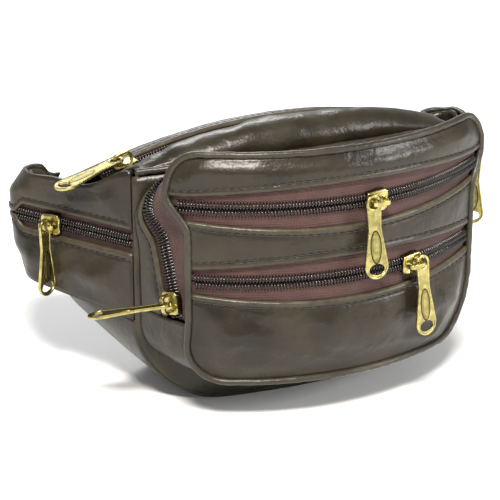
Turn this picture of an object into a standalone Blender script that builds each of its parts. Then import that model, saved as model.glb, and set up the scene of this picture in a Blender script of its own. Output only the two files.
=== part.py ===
"""A leather waist pack with a half-moon main compartment, a boxed front pouch and two folded-back wings.

Six coil zips, each in two tapes with a slider and a pull, and a webbing belt with a side-release buckle.
Metres, +Z up, front towards -Y. The origin is the centre of the flat base that the pack stands on.
"""

import math

import bmesh
import bpy
from mathutils import Matrix, Vector

# ---------------------------------------------------------------- driving dimensions
LEATHER = 0.0018            # outer panels, leather with its backing
LINING = 0.0010             # inner divider and the wing backs
SEAM_GAP = 0.0005           # air left between neighbouring panels
TOUCH_GAP = 0.0003          # air between pieces that lie on each other

MAIN_DEPTH = 0.052          # main compartment, front to back on the centre line
MAIN_HALF_WIDTH = 0.076     # main front panel, to its side seams
MAIN_BOW = 0.012            # how far the main front panel's sides lie behind its middle
FRONT_CORNER = (0.036, 0.038, 2.0)      # run, rise and fullness of the lower corners at the front
BACK_CORNER = (0.052, 0.0445, 1.35)     # and at the back, where they are cut away more
MAIN_TOP = 0.1055           # height of the front seam of the top on the centre line
MAIN_TOP_DROP = 0.003       # how much lower that seam is at the sides
TOP_ARC_RADIUS = 0.235      # crown of the top, along which the main zip runs
TOP_ARC_HEIGHT = 0.108      # height of the main zip's tape on the centre line
TOP_CROWN = 0.0030          # how far the stuffed top bulges between its seams
FOAM = 0.004                # pad in the back

POUCH_DEPTH = 0.038         # front pouch, from the main front panel to its own face on the centre line
POUCH_HALF_WIDTH = 0.0685   # along the curved face, up to the flare
POUCH_FLARE = 0.009         # how much wider the two upper corners are
POUCH_BOTTOM = 0.020
POUCH_HEIGHT = 0.098
POUCH_TOP_CORNER = 0.016
POUCH_BOTTOM_CORNER = 0.018
PANEL_RADIUS = 0.110        # the pouch's face is a cylinder of this radius, curved in plan
POUCH_ROOT_SPREAD = 0.0060  # how much wider the pouch is where it joins the main compartment
POUCH_ROOT_FLARE = 0.0012
ROOT_BELOW_SEAM = 0.0042    # the pouch's top seam, under the main panel's own piping
PIPING_RADIUS = 0.0014

COIL_HALF_WIDTH = 0.0031    # one row of coil, out from the middle of the zip
COIL_HEIGHT = 0.0019
TAPE = 0.0008
TAPE_HALF_WIDTH = 0.0115
MAIN_TAPE_HALF_WIDTH = 0.0080
ZIP_SLIT = 0.0005           # half the slit between the two rows, in which a slider's neck runs

UPPER_ZIP_DROP = 0.0220     # below the pouch's top edge
ZIP_SPACING = 0.031         # from the upper zip of the face down to the lower one
SLOT_END = 0.0050           # half the height of a face zip's slot at its ends
SLOT_GAPE = 0.0040          # added in the middle, where the stuffed pouch pulls it open

WING_ANGLE = 57.0           # degrees back from the pack's width
WING_STRAIGHT = 0.060       # from its seam to its fold, at the height of its zip
WING_FOLD_RADIUS = 0.0090
WING_FOLD_LEAN = 0.35       # the fold starts this much nearer the seam for each metre lower
WING_FOLD_CURVE = 34.0      # and rounds off above the zip
WING_FOLD_END = 180.0       # after the fold the wing lies along the pack's width again
WING_END_MARGIN = 0.0065    # of the wing's end above and below the webbing
WING_TAIL = 0.013           # from the fold to the end, into which the webbing is sewn
WING_THICKNESS = 0.0070
WING_END_THICKNESS = 0.0066
WING_ZIP_HEIGHT = 0.073
WING_SLOT = 0.0052          # half the height of its zip's slot
WING_ZIP_INSET = 0.004

WEBBING_WIDTH = 0.030
WEBBING = 0.0015
BELT_HEIGHT = 0.066         # middle of the belt above the base
HANK_LAYERS = 7

SLIDER_LENGTH = 0.0100
SLIDER_PLATE = 0.0010
SLIDER_CLEARANCE = 0.0003
STRIP_GAP = 0.0006          # between the pouch's slider and the leather strip behind its zip
TAPE_END_GAP = 0.0007       # between the pouch's front tape and the inside of the face's leather
TOP_SEAM_GAP = 0.0003       # between the top front strip and the inside of the main front panel
BRIDGE_RISE = 0.0032        # clear height under the slider's bridge
BRIDGE_BAR = 0.0012
BRIDGE_WIDTH = 0.0020
BRIDGE_LEG_OFFSET = 0.0034  # of each leg from the middle of the slider

UPPER_REST = 0.0085         # where the two sliders of the face rest, along the curve from its middle
LOWER_REST = 0.0270
WING_SLIDER_REST = 0.041    # from the wing's seam
MAIN_PULL_TURN = math.radians(20)       # the main pull lies turned towards the front
POUCH_PULL_TURN = math.radians(-49)     # the pouch's pull points outwards and a little back

PULL_LENGTH = 0.0345
PULL_TILT = math.radians(8)             # of a flat pull off the panel that it hangs over
PULL_NECK = 0.0034          # half widths
PULL_LOBE = 0.0046
PULL_THICKNESS = 0.0013
PULL_HOLE = 0.0022          # half the size of the hole that the bridge runs through
PULL_RIM = 0.0013           # metal around that hole

BUCKLE_RIM = 0.0045         # plastic beyond the webbing at each side
BUCKLE_THICKNESS = 0.0100
BUCKLE_WALL = 0.0016
SOCKET_LENGTH = 0.0300      # cavity part of the socket half
STRAP_SLOT = 0.0060
STRAP_BAR = 0.0026
PLUG_BASE = 0.0220
PRONG_LENGTH = 0.0230
PRONG_WIDTH = 0.0036
BARB = 0.0034
BUCKLE_GAP = 0.0004
BUCKLE_MOUTH = 0.008        # x of the socket's mouth
LOOP_GAP = 0.0034           # between the two layers of webbing around a bar
HANK_START = 0.0475
HANK_END = 0.0885
KEEPER_WIDTH = 0.010
KEEPER = 0.0010

# ---------------------------------------------------------------- derived heights and depths
MAIN_FRONT_Y = -MAIN_DEPTH / 2
BACK_Y = MAIN_DEPTH / 2
FACE_Y = MAIN_FRONT_Y - POUCH_DEPTH
POUCH_TOP = POUCH_BOTTOM + POUCH_HEIGHT
UPPER_ZIP = POUCH_TOP - UPPER_ZIP_DROP
LOWER_ZIP = UPPER_ZIP - ZIP_SPACING
FLARE_START = UPPER_ZIP - 0.011
TAPE_DEPTH = LEATHER + TOUCH_GAP                # outer face of a tape below the leather's outer face
SLIDER_HALF_WIDTH = COIL_HALF_WIDTH + SLIDER_CLEARANCE + SLIDER_PLATE
MAIN_ZIP_Y = 0.30 * MAIN_DEPTH / 2
POUCH_ZIP_LOW = 0.046                           # lower ends of the pouch's own zip
POUCH_ZIP_LOW_SHARE = 0.24                      # of the gusset's depth, from the face
POUCH_ZIP_HIGH_SHARE = 0.62
WING_SIN = math.sin(math.radians(WING_ANGLE))
WING_COS = math.cos(math.radians(WING_ANGLE))

# finishes: linear colour, roughness, metallic
LEATHER_FINISH = ((0.070, 0.060, 0.045, 1.0), 0.50, 0.0)
PIPING_FINISH = ((0.110, 0.095, 0.075, 1.0), 0.45, 0.0)
TAPE_FINISH = ((0.140, 0.050, 0.042, 1.0), 0.80, 0.0)
LINING_FINISH = ((0.030, 0.028, 0.026, 1.0), 0.90, 0.0)
BRASS_FINISH = ((0.560, 0.440, 0.110, 1.0), 0.30, 1.0)
WEBBING_FINISH = ((0.012, 0.012, 0.013, 1.0), 0.80, 0.0)
PLASTIC_FINISH = ((0.012, 0.012, 0.013, 1.0), 0.40, 0.0)


# ---------------------------------------------------------------- scene and materials
def clear_scene():
    for obj in list(bpy.data.objects):
        bpy.data.objects.remove(obj)


def new_collection(name):
    made = bpy.data.collections.new(name)
    bpy.context.scene.collection.children.link(made)
    return made


def material(name, finish):
    colour, roughness, metallic = finish
    made = bpy.data.materials.new(name)
    made.use_nodes = True
    shader = made.node_tree.nodes["Principled BSDF"]
    shader.inputs["Base Color"].default_value = colour
    shader.inputs["Roughness"].default_value = roughness
    shader.inputs["Metallic"].default_value = metallic
    made.diffuse_color = colour
    return made


clear_scene()
PACK = new_collection("waist_pack")
CUTTERS = new_collection("cutters")


# ---------------------------------------------------------------- tools
def add_mesh(name, mesh, finish, collection=PACK):
    obj = bpy.data.objects.new(name, mesh)
    collection.objects.link(obj)
    obj.data.materials.append(material(name, finish))
    return obj


def mesh_of(bm, name):
    mesh = bpy.data.meshes.new(name)
    bm.to_mesh(mesh)
    bm.free()
    return mesh


def sheet(name, point, columns, rows, thickness, finish):
    """A panel: a grid on the surface point(u, v), thickened away from its outer side, u cross v."""
    bm = bmesh.new()
    bmesh.ops.create_grid(bm, x_segments=columns, y_segments=rows, size=0.5)
    for vertex in bm.verts:
        vertex.co = point(vertex.co.x + 0.5, vertex.co.y + 0.5)
    obj = add_mesh(name, mesh_of(bm, name), finish)
    wall = obj.modifiers.new("thickness", "SOLIDIFY")
    wall.thickness = thickness
    wall.offset = -1.0
    wall.use_even_offset = True
    return obj


def strip(name, station, columns, finish):
    """A bar along a path: station(t) gives the corners of its section, in the same order at each t."""
    corners = len(station(0.0))
    bm = bmesh.new()
    bmesh.ops.create_grid(bm, x_segments=columns, y_segments=corners, size=0.5)
    for vertex in bm.verts:
        along = min(max(vertex.co.x + 0.5, 0.0), 1.0)
        corner = round((vertex.co.y + 0.5) * corners) % corners
        vertex.co = station(along)[corner]
    bmesh.ops.remove_doubles(bm, verts=bm.verts, dist=1e-6)
    bmesh.ops.holes_fill(bm, edges=bm.edges)
    bmesh.ops.recalc_face_normals(bm, faces=bm.faces)
    return add_mesh(name, mesh_of(bm, name), finish)


def tube(name, points, radius, finish, closed=False):
    curve = bpy.data.curves.new(name, "CURVE")
    curve.dimensions = "3D"
    curve.bevel_depth = radius
    curve.bevel_resolution = 2
    curve.use_fill_caps = not closed
    spline = curve.splines.new("POLY")
    spline.points.add(len(points) - 1)
    for spot, place in zip(spline.points, points):
        spot.co = (*place, 1.0)
    spline.use_cyclic_u = closed
    curve.materials.append(material(name, finish))
    obj = bpy.data.objects.new(name, curve)
    PACK.objects.link(obj)
    return obj


def box(name, low, high, finish=PLASTIC_FINISH, collection=CUTTERS):
    """A box between two corners. In the cutters' collection it is a helper."""
    bm = bmesh.new()
    bmesh.ops.create_cube(bm, size=1.0)
    for vertex in bm.verts:
        vertex.co = [low[k] + (vertex.co[k] + 0.5) * (high[k] - low[k]) for k in range(3)]
    obj = add_mesh(name, mesh_of(bm, name), finish, collection)
    if collection is CUTTERS:
        obj.hide_render = True
        obj.display_type = "WIRE"
    return obj


def pivot(name, place):
    """An empty on a joint's axis, for the moving piece to hang on."""
    empty = bpy.data.objects.new(name, None)
    empty.empty_display_size = 0.01
    empty.location = place
    PACK.objects.link(empty)
    return empty


def hang_on(obj, parent):
    """Parents an object and leaves it where it is."""
    bpy.context.view_layer.update()
    obj.parent = parent
    obj.matrix_parent_inverse = parent.matrix_world.inverted()
    return obj


def boolean(obj, other, operation):
    cut = obj.modifiers.new(other.name, "BOOLEAN")
    cut.operation = operation
    cut.object = other
    return obj


def baked(obj):
    """The object's evaluated mesh, as a mesh that several objects can share."""
    bpy.context.view_layer.update()
    graph = bpy.context.evaluated_depsgraph_get()
    mesh = bpy.data.meshes.new_from_object(obj.evaluated_get(graph))
    bm = bmesh.new()
    bm.from_mesh(mesh)
    bmesh.ops.remove_doubles(bm, verts=bm.verts, dist=1e-6)
    bm.to_mesh(mesh)
    bm.free()
    return mesh


def mix(a, b, share):
    return a + (b - a) * share


def smooth(x):
    x = min(max(x, 0.0), 1.0)
    return x * x * (3 - 2 * x)


# ---------------------------------------------------------------- surfaces
def face_setback(z):
    """The pouch's face leans back towards its top edge and tucks under towards its bottom edge."""
    top = smooth((z - UPPER_ZIP - 0.010) / (POUCH_TOP - UPPER_ZIP - 0.008)) * 0.0035
    bottom = smooth((LOWER_ZIP - 0.014 - z) / (LOWER_ZIP - 0.014 - POUCH_BOTTOM)) * 0.0055
    return top + bottom


def on_face(along, z, depth=0.0):
    """A point of the pouch's face, at arc length along from its middle, depth metres inside it."""
    angle = along / PANEL_RADIUS
    reach = PANEL_RADIUS - depth
    back = face_setback(z)
    return Vector((reach * math.sin(angle), FACE_Y + PANEL_RADIUS - reach * math.cos(angle) + back, z))


def main_front_y(x):
    return MAIN_FRONT_Y + MAIN_BOW * (x / MAIN_HALF_WIDTH) ** 2


def side_half_width(z):
    """Half the width of the pouch's face at height z, without its rounded corners."""
    corner = POUCH_TOP - POUCH_TOP_CORNER
    return POUCH_HALF_WIDTH + POUCH_FLARE * smooth((z - FLARE_START) / (corner - FLARE_START))


def corner_inset(distance, radius):
    """How far a rounded corner lies inside its straight side, at a distance from the end edge."""
    if distance >= radius:
        return 0.0
    return radius - math.sqrt(max(radius**2 - (radius - distance) ** 2, 0.0))


def face_half_width(z, inset):
    """Half the width of the face at z, kept inset metres inside its outline."""
    top, bottom = POUCH_TOP - inset - z, z - POUCH_BOTTOM - inset
    rounding = corner_inset(top, POUCH_TOP_CORNER) + corner_inset(bottom, POUCH_BOTTOM_CORNER)
    return side_half_width(z) - inset - rounding


def pouch_edge(q):
    """(half width, height) of one side of the face's outline, from its bottom centre at q 0 to its top."""
    bottom_line = POUCH_HALF_WIDTH - POUCH_BOTTOM_CORNER
    top_width = side_half_width(POUCH_TOP)
    top_line = top_width - POUCH_TOP_CORNER
    low, high = POUCH_BOTTOM + POUCH_BOTTOM_CORNER, POUCH_TOP - POUCH_TOP_CORNER
    lengths = (bottom_line, POUCH_BOTTOM_CORNER * 1.571, high - low, POUCH_TOP_CORNER * 1.571, top_line)
    left = q * sum(lengths)
    if left <= lengths[0]:
        return left, POUCH_BOTTOM
    left -= lengths[0]
    if left <= lengths[1]:
        turn = left / POUCH_BOTTOM_CORNER
        out, down = POUCH_BOTTOM_CORNER * math.sin(turn), POUCH_BOTTOM_CORNER * math.cos(turn)
        return bottom_line + out, low - down
    left -= lengths[1]
    if left <= lengths[2]:
        return side_half_width(low + left), low + left
    left -= lengths[2]
    if left <= lengths[3]:
        turn = left / POUCH_TOP_CORNER
        return top_line + POUCH_TOP_CORNER * math.cos(turn), high + POUCH_TOP_CORNER * math.sin(turn)
    left -= lengths[3]
    return max(top_line - left, 0.0), POUCH_TOP


def root_top(x):
    """Height of the pouch's top seam on the main front panel, under that panel's own piping."""
    return MAIN_TOP - MAIN_TOP_DROP * (x / MAIN_HALF_WIDTH) ** 2 - ROOT_BELOW_SEAM


def outline(mark, root=False):
    """(x along the surface, z) of the left half of the face's outline or, with root, of its seam.

    Mark 0 is the bottom centre, 1 and 2 are the ends of the left side, 3 ends the top corner, and
    4 is the top centre. The seam is where the pouch joins the main front panel.
    """
    width = POUCH_HALF_WIDTH + (POUCH_ROOT_SPREAD if root else 0.0)
    flare = POUCH_ROOT_FLARE if root else POUCH_FLARE
    low, high = POUCH_BOTTOM + POUCH_BOTTOM_CORNER, POUCH_TOP - POUCH_TOP_CORNER
    flat = width - POUCH_BOTTOM_CORNER
    line = width + flare - POUCH_TOP_CORNER
    drop = POUCH_TOP - root_top(line) if root else 0.0
    if mark <= 1:
        left = mark * (flat + POUCH_BOTTOM_CORNER * math.pi / 2)
        if left <= flat:
            return -left, low - POUCH_BOTTOM_CORNER
        turn = (left - flat) / POUCH_BOTTOM_CORNER
        return -flat - POUCH_BOTTOM_CORNER * math.sin(turn), low - POUCH_BOTTOM_CORNER * math.cos(turn)
    if mark <= 2:
        z = mix(low, high, mark - 1)
        spread = flare * smooth((z - FLARE_START) / (high - FLARE_START))
        return -width - spread, z - drop * smooth(mark - 1)
    if mark <= 3:
        turn = (mark - 2) * math.pi / 2
        return -line - POUCH_TOP_CORNER * math.cos(turn), high - drop + POUCH_TOP_CORNER * math.sin(turn)
    x = -line * (4 - mark)
    return x, root_top(x) if root else POUCH_TOP


GUSSET_START = PIPING_RADIUS + SEAM_GAP


def gusset(mark, share, depth=0.0):
    """A point of the pouch's side wall: share 0 at the face, 1 at its root. Marks over 4 mirror."""
    mirror = mark > 4
    spot = 8 - mark if mirror else mark
    along, z = outline(spot)
    near = on_face(along, z)
    near.y += GUSSET_START
    x, root_z = outline(spot, True)
    far = Vector((x, main_front_y(x) - TOUCH_GAP - SEAM_GAP, root_z))
    point = near.lerp(far, share)
    if mirror:
        point.x = -point.x
    if depth:
        point -= gusset_normal(mark, share) * depth
    return point


def gusset_normal(mark, share):
    step = 0.01
    along = gusset(mark + step, share) - gusset(mark - step, share)
    across = gusset(mark, min(share + step, 1.0)) - gusset(mark, max(share - step, 0.0))
    return along.cross(across).normalized()


def low_mark():
    """The mark of the height at which the pouch's own zip ends."""
    low, high = POUCH_BOTTOM + POUCH_BOTTOM_CORNER, POUCH_TOP - POUCH_TOP_CORNER
    return 1 + (POUCH_ZIP_LOW - low) / (high - low)


def zip_share(mark):
    """Where the pouch's zip lies across its side wall: near the face low down, further back on top."""
    spot = 8 - mark if mark > 4 else mark
    start, end = low_mark(), 2.0
    return mix(POUCH_ZIP_LOW_SHARE, POUCH_ZIP_HIGH_SHARE, min((spot - start) / (end - start), 1.0))


def strip_share(mark):
    """Where the strip behind the pouch's zip starts across the side wall, clear of the slider."""
    depth = (gusset(mark, 1.0) - gusset(mark, 0.0)).length
    return zip_share(mark) + (SLIDER_HALF_WIDTH + STRIP_GAP) / depth


def wing_line(along, z, depth=0.0):
    """A point of the left wing's outer side: back from its seam, round its fold, behind the pack."""
    rise = z - WING_ZIP_HEIGHT
    straight = WING_STRAIGHT + min(rise, 0.0) * WING_FOLD_LEAN - max(rise, 0.0) ** 2 * WING_FOLD_CURVE
    radius = WING_FOLD_RADIUS + (WING_STRAIGHT - straight) * WING_SIN / (1 + WING_COS)
    start = Vector((-MAIN_HALF_WIDTH - SEAM_GAP, main_front_y(MAIN_HALF_WIDTH) + LEATHER / 2, z))
    turn_length = math.radians(WING_FOLD_END - WING_ANGLE) * radius
    run = min(along, straight)
    point = start + Vector((-WING_COS, WING_SIN, 0)) * run
    angle = math.radians(WING_ANGLE)
    if along > straight:
        centre = point + Vector((WING_SIN, WING_COS, 0)) * radius
        angle += min(along - straight, turn_length) / radius
        point = centre - Vector((math.sin(angle), math.cos(angle), 0)) * radius
        rest = max(along - straight - turn_length, 0.0)
        point += Vector((-math.cos(angle), math.sin(angle), 0)) * rest
    return point + Vector((math.sin(angle), math.cos(angle), 0)) * depth


WING_LENGTH = WING_STRAIGHT + math.radians(WING_FOLD_END - WING_ANGLE) * WING_FOLD_RADIUS + WING_TAIL


def wing_top(along):
    end = BELT_HEIGHT + WEBBING_WIDTH / 2 + WING_END_MARGIN
    root = MAIN_TOP - MAIN_TOP_DROP + 0.001
    level = root - 0.0105 * smooth(along / 0.026)
    return mix(level, end, smooth((along - WING_STRAIGHT + 0.010) / 0.024))


def wing_bottom(along):
    """The wing's lower edge follows the bottom gusset's to the back panel, then rises to the webbing."""
    end = BELT_HEIGHT - WEBBING_WIDTH / 2 - WING_END_MARGIN
    slope = (BACK_CORNER[1] - FRONT_CORNER[1]) / MAIN_DEPTH * WING_SIN
    return min(FRONT_CORNER[1] + TOUCH_GAP * 2 + along * slope, end)


def top_arc(x):
    """Height of the main zip's tape at x: a circle about an axis along Y."""
    return TOP_ARC_HEIGHT - TOP_ARC_RADIUS + math.sqrt(TOP_ARC_RADIUS**2 - x * x)


def top_half_width(y):
    """Where the top panels meet the wings, which run back and outwards."""
    root = main_front_y(MAIN_HALF_WIDTH)
    return MAIN_HALF_WIDTH - LEATHER * 1.6 + max(y - root, 0.0) * WING_COS / WING_SIN


# ---------------------------------------------------------------- main compartment
def main_seam_height(x):
    return MAIN_TOP - MAIN_TOP_DROP * (x / MAIN_HALF_WIDTH) ** 2


def corner_of(share):
    """Run, rise and fullness of the main compartment's lower corners: share 0 is its front."""
    return [mix(FRONT_CORNER[k], BACK_CORNER[k], share) for k in range(3)]


def main_half_width(z, width, share):
    """Half the width, at height z, of an outline that is width wide above its lower corners."""
    run, rise, full = corner_of(share)
    below = min(max(1 - z / rise, 0.0), 1.0)
    return width - run + run * (1 - below**full) ** (1 / full)


BACK_WIDTH = top_half_width(BACK_Y) - WING_THICKNESS - SEAM_GAP


def build_main():
    base = TOUCH_GAP + LEATHER

    def spread(v):
        """Rows close together near the base, where the outline turns fastest."""
        return 0.35 * v + 0.65 * v * v

    def front(u, v):
        z = mix(base, MAIN_TOP - MAIN_TOP_DROP - PIPING_RADIUS, spread(v))
        edge = main_half_width(z - base, MAIN_HALF_WIDTH - SEAM_GAP * 2 - LEATHER * 1.1, 0.0)
        x = edge * (2 * u - 1)
        z += v * v * (main_seam_height(x) - MAIN_TOP + MAIN_TOP_DROP)
        return Vector((x, main_front_y(x), z))

    sheet("main_front_panel", front, 14, 16, LEATHER, LEATHER_FINISH)

    def back_top(x):
        return top_arc(x) - 0.0055

    def back(u, v, inset=0.0, depth=0.0):
        z = mix(base + inset, back_top(BACK_WIDTH) - inset, spread(v))
        x = (main_half_width(z - base, BACK_WIDTH, 1.0) - inset * 1.5) * (1 - 2 * u)
        z += v * v * (back_top(x) - back_top(BACK_WIDTH))
        return Vector((x, BACK_Y - depth, z))

    sheet("main_back_panel", back, 14, 16, LEATHER, LEATHER_FINISH)
    pad_depth = LEATHER + TOUCH_GAP
    sheet("main_back_foam", lambda u, v: back(u, v, 0.009, pad_depth), 8, 10, FOAM, LINING_FINISH)

    def base_sheet(u, v):
        """The sides and the base in one strip, from the left wing's lower edge round to the right one's."""
        share = 1 - v
        run, rise, full = corner_of(share)
        width = mix(MAIN_HALF_WIDTH - SEAM_GAP, BACK_WIDTH + LEATHER * 1.6, share)
        side = -1 if u < 0.5 else 1
        way = min(u, 1 - u)
        if way < 0.36:
            turn = way / 0.36 * math.pi / 2
            x = width - run + run * math.cos(turn) ** (2 / full)
            z = rise * (1 - math.sin(turn) ** (2 / full))
        else:
            x, z = (width - run) * (0.5 - way) / 0.14, 0.0
        near = main_front_y(min(x, MAIN_HALF_WIDTH)) + LEATHER * 0.5
        return Vector((side * x, mix(near, BACK_Y - TOUCH_GAP, share), z))

    sheet("main_bottom_gusset", base_sheet, 50, 1, LEATHER, LEATHER_FINISH)

    slot = COIL_HALF_WIDTH + 0.0024

    seam_in = max(PIPING_RADIUS + SEAM_GAP, LEATHER + TOP_SEAM_GAP)

    def top_front(u, v):
        y = mix(main_front_y(0) + seam_in, MAIN_ZIP_Y - slot, v)
        x = (top_half_width(y) - SEAM_GAP) * (2 * u - 1)
        y = mix(main_front_y(x) + seam_in, MAIN_ZIP_Y - slot, v)
        front_z, rear_z = main_seam_height(x) + 0.0006, top_arc(x) + TAPE_DEPTH
        crown = TOP_CROWN * math.sin(math.pi * v) * (1 - (x / top_half_width(y)) ** 2)
        return Vector((x, y, mix(front_z, rear_z, v) + crown))

    sheet("main_top_front_strip", top_front, 16, 6, LEATHER, LEATHER_FINISH)

    def top_rear(u, v):
        y = mix(MAIN_ZIP_Y + slot, BACK_Y, v)
        x = (top_half_width(y) - SEAM_GAP) * (2 * u - 1)
        drop = 0.0050 * v**3 * (1 - (2 * u - 1) ** 4)
        return Vector((x, y, top_arc(x) + TAPE_DEPTH - drop))

    sheet("main_top_rear_strip", top_rear, 16, 4, LEATHER, LEATHER_FINISH)

    ends = MAIN_HALF_WIDTH - PIPING_RADIUS
    count = 24
    seam = []
    for k in range(count + 1):
        x = ends * (2 * k / count - 1)
        seam.append((x, main_front_y(x) + 0.0002, main_seam_height(x) + PIPING_RADIUS * 0.6))
    tube("main_top_piping", seam, PIPING_RADIUS, PIPING_FINISH)


# ---------------------------------------------------------------- front pouch
def build_pouch():
    inset = PIPING_RADIUS + SEAM_GAP

    def slot_edge(zip_height, side, along):
        """Height of one edge of a face zip's slot."""
        gape = SLOT_END + SLOT_GAPE * math.cos(math.pi / 2 * min(abs(along) / POUCH_HALF_WIDTH, 1.0))
        return zip_height + side * gape

    def band(low, high, rows_inset):
        def point(u, v):
            middle = mix(low(0.0), high(0.0), v)
            width = face_half_width(middle, inset)
            along = width * (2 * u - 1)
            z = mix(low(along), high(along), v)
            along = face_half_width(z, rows_inset) * (2 * u - 1)
            return on_face(along, z)

        return point

    top_edge = POUCH_TOP - inset
    bottom_edge = POUCH_BOTTOM + inset
    top = band(lambda s: slot_edge(UPPER_ZIP, 1, s), lambda s: top_edge, inset)
    middle = band(lambda s: slot_edge(LOWER_ZIP, 1, s), lambda s: slot_edge(UPPER_ZIP, -1, s), inset)
    lower = band(lambda s: bottom_edge, lambda s: slot_edge(LOWER_ZIP, -1, s), inset)
    sheet("pouch_top_band", top, 20, 4, LEATHER, LEATHER_FINISH)
    sheet("pouch_middle_band", middle, 20, 4, LEATHER, LEATHER_FINISH)
    sheet("pouch_lower_panel", lower, 20, 6, LEATHER, LEATHER_FINISH)

    count = 96
    ring = []
    for k in range(count):
        q = 2 * k / count
        width, z = pouch_edge(q if q <= 1 else 2 - q)
        along = -width if q <= 1 else width
        ring.append(on_face(along, z))
    tube("pouch_piping", ring, PIPING_RADIUS, PIPING_FINISH, closed=True)

    divider_depth = TAPE_DEPTH + TAPE + SLIDER_PLATE + SLIDER_CLEARANCE + 0.0040

    def divider(u, v):
        z = mix(POUCH_BOTTOM + 0.006, POUCH_TOP - 0.013, v)
        along = face_half_width(z, 0.009) * (2 * u - 1)
        return on_face(along, z, divider_depth)

    sheet("pouch_divider", divider, 14, 6, LINING, LINING_FINISH)

    start = low_mark()

    def rear_strip(u, v):
        mark = mix(start, 8 - start, u)
        return gusset(mark, mix(strip_share(mark), 0.985, v))

    sheet("pouch_gusset_rear_strip", rear_strip, 64, 1, LEATHER * 0.7, LEATHER_FINISH)

    def lower_gusset(u, v):
        end = start - 0.06
        mark = mix(-end, end, u)
        if mark < 0:
            point = gusset(-mark, mix(0.02, 0.985, v))
            point.x = -point.x
            return point
        return gusset(mark, mix(0.02, 0.985, v))

    sheet("pouch_lower_gusset", lower_gusset, 36, 1, LEATHER * 0.7, LEATHER_FINISH)


# ---------------------------------------------------------------- wings
def mirrored(point, side):
    return Vector((point.x * side, point.y, point.z))


def build_wing(name, side):
    """side 1 is the left wing, and -1 the right one, whose surfaces run the other way."""
    top_start = (BACK_Y - main_front_y(MAIN_HALF_WIDTH)) / WING_SIN

    def way(u):
        return u if side < 0 else 1 - u

    def slot(along):
        """Half the height of the zip's slot, which closes where the tapes end."""
        return mix(WING_SLOT, LEATHER / 4, smooth((along - WING_STRAIGHT + 0.0035) / 0.006))

    def upper(u, v):
        along = WING_LENGTH * way(u)
        low = WING_ZIP_HEIGHT + slot(along)
        z = mix(low, wing_top(along), v)
        return mirrored(wing_line(along, z), side)

    def lower(u, v):
        along = WING_LENGTH * way(u)
        high = WING_ZIP_HEIGHT - slot(along)
        z = mix(wing_bottom(along), high, v)
        return mirrored(wing_line(along, z), side)

    def back(u, v):
        """The inner panel, whose top and bottom edges curve out to the outer ones."""
        along = mix(WING_ZIP_INSET * 0.5, WING_LENGTH, 1 - way(u))
        tail = smooth((along - WING_STRAIGHT) / (WING_LENGTH - WING_STRAIGHT))
        full, near = mix(WING_THICKNESS, WING_END_THICKNESS, tail), LEATHER + TOUCH_GAP * 3.5 + LINING
        depth = mix(full, near, abs(2 * v - 1) ** mix(4.0, 12.0, tail))
        high = wing_top(along) - mix(0.0095, 0.0012, smooth((along - top_start - 0.001) / 0.008))
        return mirrored(wing_line(along, mix(wing_bottom(along) + 0.0012, high, v), depth), side)

    sheet(f"{name}_wing_upper_panel", upper, 26, 2, LEATHER, LEATHER_FINISH)
    sheet(f"{name}_wing_lower_panel", lower, 26, 2, LEATHER, LEATHER_FINISH)
    sheet(f"{name}_wing_inner_panel", back, 26, 8, LINING, LEATHER_FINISH)


# ---------------------------------------------------------------- zips
def tape_section(origin, across, out, edge):
    """Corners of one tape with its row of coil. across points from the slit to the tape's edge."""
    steps = (
        (ZIP_SLIT, -TAPE),
        (edge, -TAPE),
        (edge, 0.0),
        (COIL_HALF_WIDTH, 0.0),
        (COIL_HALF_WIDTH, COIL_HEIGHT),
        (ZIP_SLIT, COIL_HEIGHT),
    )
    return [origin + across * a + out * h for a, h in steps]


def face_zip(name, height):
    for part, side in (("top", 1), ("bottom", -1)):
        def station(t, side=side):
            corners = []
            flat = tape_section(Vector((0, 0)), Vector((1, 0)), Vector((0, 1)), TAPE_HALF_WIDTH)
            for reach, rise in flat:
                z = height + side * reach
                along = (face_half_width(z, PIPING_RADIUS + SEAM_GAP) - 0.0006) * (2 * t - 1)
                corner = on_face(along, height, TAPE_DEPTH - rise)
                corners.append(Vector((corner.x, corner.y, z)))
            return corners

        strip(f"{name}_zip_{part}_tape", station, 24, TAPE_FINISH)


def face_normal(along):
    angle = along / PANEL_RADIUS
    return Vector((math.sin(angle), -math.cos(angle), 0))


def main_zip_reach():
    return top_half_width(MAIN_ZIP_Y - MAIN_TAPE_HALF_WIDTH) - 0.002


def main_zip():
    reach = main_zip_reach()

    def frame(t):
        x = reach * (2 * t - 1)
        tilt = math.asin(x / TOP_ARC_RADIUS)
        return Vector((x, MAIN_ZIP_Y, top_arc(x))), Vector((math.sin(tilt), 0, math.cos(tilt)))

    for part, side in (("front", -1), ("rear", 1)):
        def station(t, side=side):
            origin, out = frame(t)
            return tape_section(origin, Vector((0, side, 0)), out, MAIN_TAPE_HALF_WIDTH)

        strip(f"main_zip_{part}_tape", station, 24, TAPE_FINISH)


POUCH_TAPE_DEPTH = LEATHER * 0.7 + TOUCH_GAP * 2


def pouch_zip():
    start, columns = low_mark(), 64

    def place(t):
        mark = mix(start, 8 - start, t)
        return mark, zip_share(mark)

    for part, side in (("front", -1), ("rear", 1)):
        def station(t, side=side):
            mark, share = place(t)
            across = gusset(mark, 1.0) - gusset(mark, 0.0)
            origin = gusset(mark, share, POUCH_TAPE_DEPTH)
            to_face = across.length * share - LEATHER - TAPE_END_GAP
            width = to_face if side < 0 else across.length * min(0.26, 0.97 - share)
            return tape_section(origin, across.normalized() * side, gusset_normal(mark, share), width)

        strip(f"pouch_zip_{part}_tape", station, columns, TAPE_FINISH)


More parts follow.
